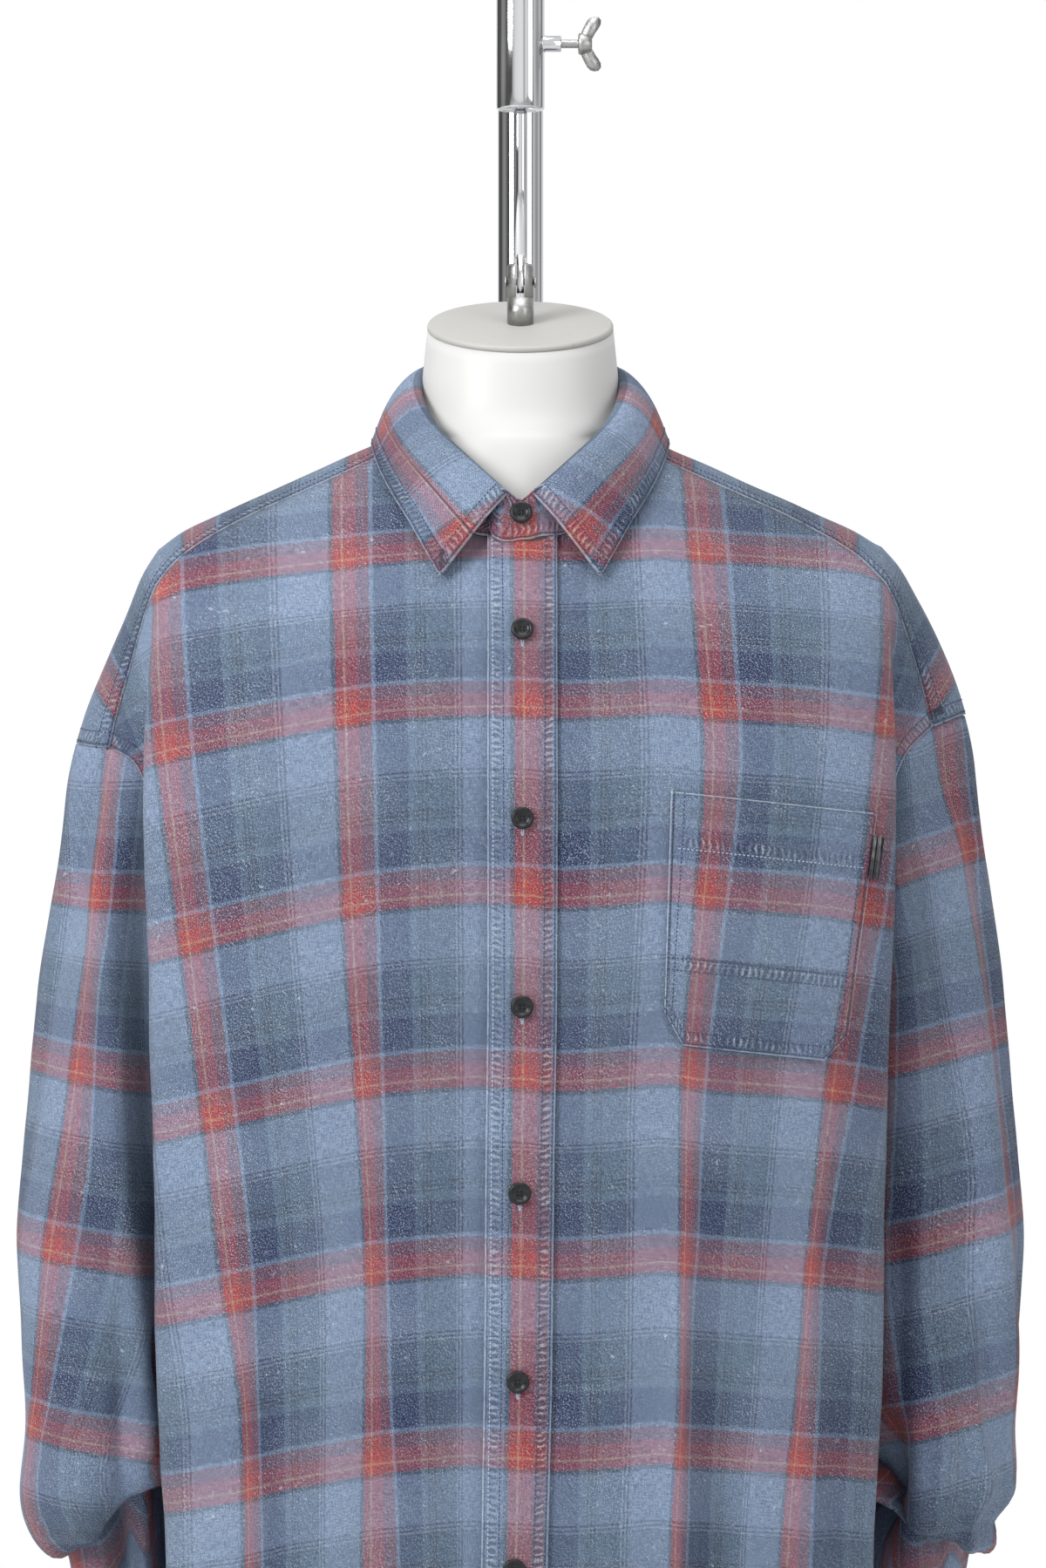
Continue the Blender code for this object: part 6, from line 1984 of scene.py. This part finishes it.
# %% Wing screw
screw_profile = [(0, 0.0378), (0.0030, 0.0378), (0.0040, 0.0374), (0.0046, 0.0350), (0.0060, 0.0325),
                 (0.0055, 0.0308), (0.0048, 0.0305), (0.0032, 0.0305)]
turn_count = 30
for i in range(turn_count):
    height = mix(0.0303, ROD_RADIUS + 0.0012, i / (turn_count - 1))
    screw_profile += [(SHANK_RADIUS, height), (SHANK_RADIUS - 0.0003, height - 0.0004)]
screw_profile += [(SHANK_RADIUS - 0.0008, ROD_RADIUS + 0.0006), (0, ROD_RADIUS + 0.0006)]
points, faces = turned_mesh(screw_profile, 28)
add_piece("screw_shank", points, faces, zinc, along_x(0, 0, SCREW_Z))
EAR = ((0.0312, 0.0030), (0.0322, 0.0062), (0.0335, 0.0090), (0.0352, 0.0122), (0.0368, 0.0138),
       (0.0390, 0.0144), (0.0412, 0.0140), (0.0425, 0.0124), (0.0424, 0.0104), (0.0412, 0.0082),
       (0.0396, 0.0060), (0.0380, 0.0030))


def ears(shape):
    for way in (-1, 1):
        front, behind = [], []
        for x, z in EAR:
            thick = mix(0.0016, 0.0010, z / 0.0144)
            front.append(shape.verts.new((x, -thick, SCREW_Z + CHEST_Z + z * way)))
            behind.append(shape.verts.new((x, thick, SCREW_Z + CHEST_Z + z * way)))
        joined(shape, front, behind)
        shape.faces.new(front)
        shape.faces.new(behind[::-1])


shaped("screw_ears", ears, zinc, bevel=0.0005)

# %% Bend, column and base
tube_tree, tube_in, tube_out = new_geometry_tree("tube_on_path", (
    ("Radius", "NodeSocketFloat"), ("Sides", "NodeSocketInt"), ("Material", "NodeSocketMaterial")))
to_curve = fed(tube_tree, "GeometryNodeMeshToCurve", tube_in.outputs["Geometry"], "Mesh")
circle = fed(tube_tree, "GeometryNodeCurvePrimitiveCircle", tube_in.outputs["Radius"], "Radius")
link(tube_tree, tube_in.outputs["Sides"], circle.inputs["Resolution"])
skin = fed(tube_tree, "GeometryNodeCurveToMesh", to_curve.outputs[0], "Curve")
link(tube_tree, circle.outputs[0], skin.inputs["Profile Curve"])
skin.inputs["Fill Caps"].default_value = True
real_and_painted(tube_tree, tube_in, tube_out, skin.outputs[0])

bend_top = BEND_Z + FACE_GAP
bend_path = [(0, 0, bend_top)]
bend_path += [(0, BEND_RADIUS * (1 - math.cos(a)), bend_top + BEND_RISE + BEND_RADIUS * math.sin(a))
              for a in steps(0, math.pi, 64)]
bend_path += [(0, 2 * BEND_RADIUS, bend_top)]
foot = BASE_THICK + FACE_GAP - CHEST_Z
column_path = [(0, 2 * BEND_RADIUS, z) for z in steps(BEND_Z, foot, 24)]
for name, path in (("bend_tube", bend_path), ("column_tube", column_path)):
    piece = swept_object(name, [path], tube_tree, {"Radius": TUBE_RADIUS, "Sides": 96, "Material": chrome})
    for polygon in piece.data.polygons:
        polygon.use_smooth = len(polygon.vertices) == 4

socket_bore = TUBE_RADIUS + 0.0002
socket_profile = [(radius, foot + up) for radius, up in (
    (socket_bore, 0.014), (0.0175, 0.0125), (0.0190, 0.0100), (0.0190, 0.0002), (socket_bore, 0.0002),
    (socket_bore, 0.014))]
points, faces = turned_mesh(socket_profile, 72)
add_piece("column_socket", points, faces, chrome, at(0, 2 * BEND_RADIUS, 0))


def base(shape):
    """A plate with rounded corners and a soft upper edge."""
    corner, outline = 0.018, []
    for sx, sy, start in ((1, 1, 0), (-1, 1, 90), (-1, -1, 180), (1, -1, 270)):
        for a in steps(math.radians(start), math.radians(start + 90), 8):
            outline.append((sx * (BASE_X / 2 - corner) + corner * math.cos(a),
                            BASE_MIDDLE_Y + sy * (BASE_Y / 2 - corner) + corner * math.sin(a)))
    low = [shape.verts.new((x, y, 0.0)) for x, y in outline]
    high = [shape.verts.new((x, y, BASE_THICK)) for x, y in outline]
    joined(shape, low, high)
    shape.faces.new(low[::-1])
    shape.faces.new(high)


base_piece = shaped("base", base, chrome, bevel=0.0025)
for polygon in base_piece.data.polygons:
    polygon.use_smooth = abs(polygon.normal.z) < 0.999
print("the stand is", round(BEND_Z + BEND_RISE + BEND_RADIUS + TUBE_RADIUS + CHEST_Z, 3), "m high")

# %% Pieces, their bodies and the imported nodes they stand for
CLOTH = (  # the piece without "_cloth", its node and grid, and what it lies on or hangs from
    ("front_left", "front_left", "front_left", "form_body"),
    ("front_right", "front_right", "front_right", "form_body"),
    ("back", "back", "back", "form_body"),
    ("yoke", "yoke", "yoke", "form_body"),
    ("sleeve_left", "sleeve_left", "sleeve_left", "yoke_cloth"),
    ("sleeve_right", "sleeve_right", "sleeve_right", "yoke_cloth"),
    ("cuff_left", "cuff_left", "cuff_left", "sleeve_left_cloth"),
    ("cuff_right", "cuff_right", "cuff_right", "sleeve_right_cloth"),
    ("placket", "placket", "placket", "front_left_cloth"),
    ("pocket", "pocket", "pocket", "front_left_cloth"),
    ("collar_band", "collar_stand", "band", "yoke_cloth"),
    ("collar_fall", "collar_fall", "fall", "collar_band_cloth"),
)


for name, node, grid, below in CLOTH:
    piece = bpy.data.objects[name + "_cloth"]
    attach(piece, "form")
    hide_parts(node)

OTHERS = (
    ("form", "checked_cloth", (("stitches_dark",), ("stitches_pale",), ("buttonholes",))),
    ("form", "black_button", tuple(("shirt_button_%d" % n, "button_%d" % n) for n in range(1, 8))),
    ("form", "black_button", (("sleeve_button_left", "cuff_button_left"),
                              ("sleeve_button_right", "cuff_button_right"))),
    ("form", "dark_metal", (("tab", "pocket_tab"),)),
    ("form", "white_form", (("form_body", "dress_form"),)),
    ("form", "neck_cap", (("lid", "neck_cap"),)),
    ("form", "zinc", (("fork", "hanger_fork"), ("hinge_pin", "fork_pin"))),
    ("hanger_rod", "chrome", (("rod_bar", "rod"), ("rod_tongue",))),
    ("stand", "chrome", (("head_tube", "stand_head"), ("head_boss",), ("bend_tube", "stand_bend"),
                         ("column_tube", "stand_column"), ("column_socket",), ("base", "base_plate"))),
    ("screw", "zinc", (("screw_shank", "wing_screw"), ("screw_ears",))),
)
for body, slot_name, group_of_pieces in OTHERS:
    for name, *nodes in group_of_pieces:
        piece = bpy.data.objects[name]
        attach(piece, body)
        if nodes:
            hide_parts(*nodes)
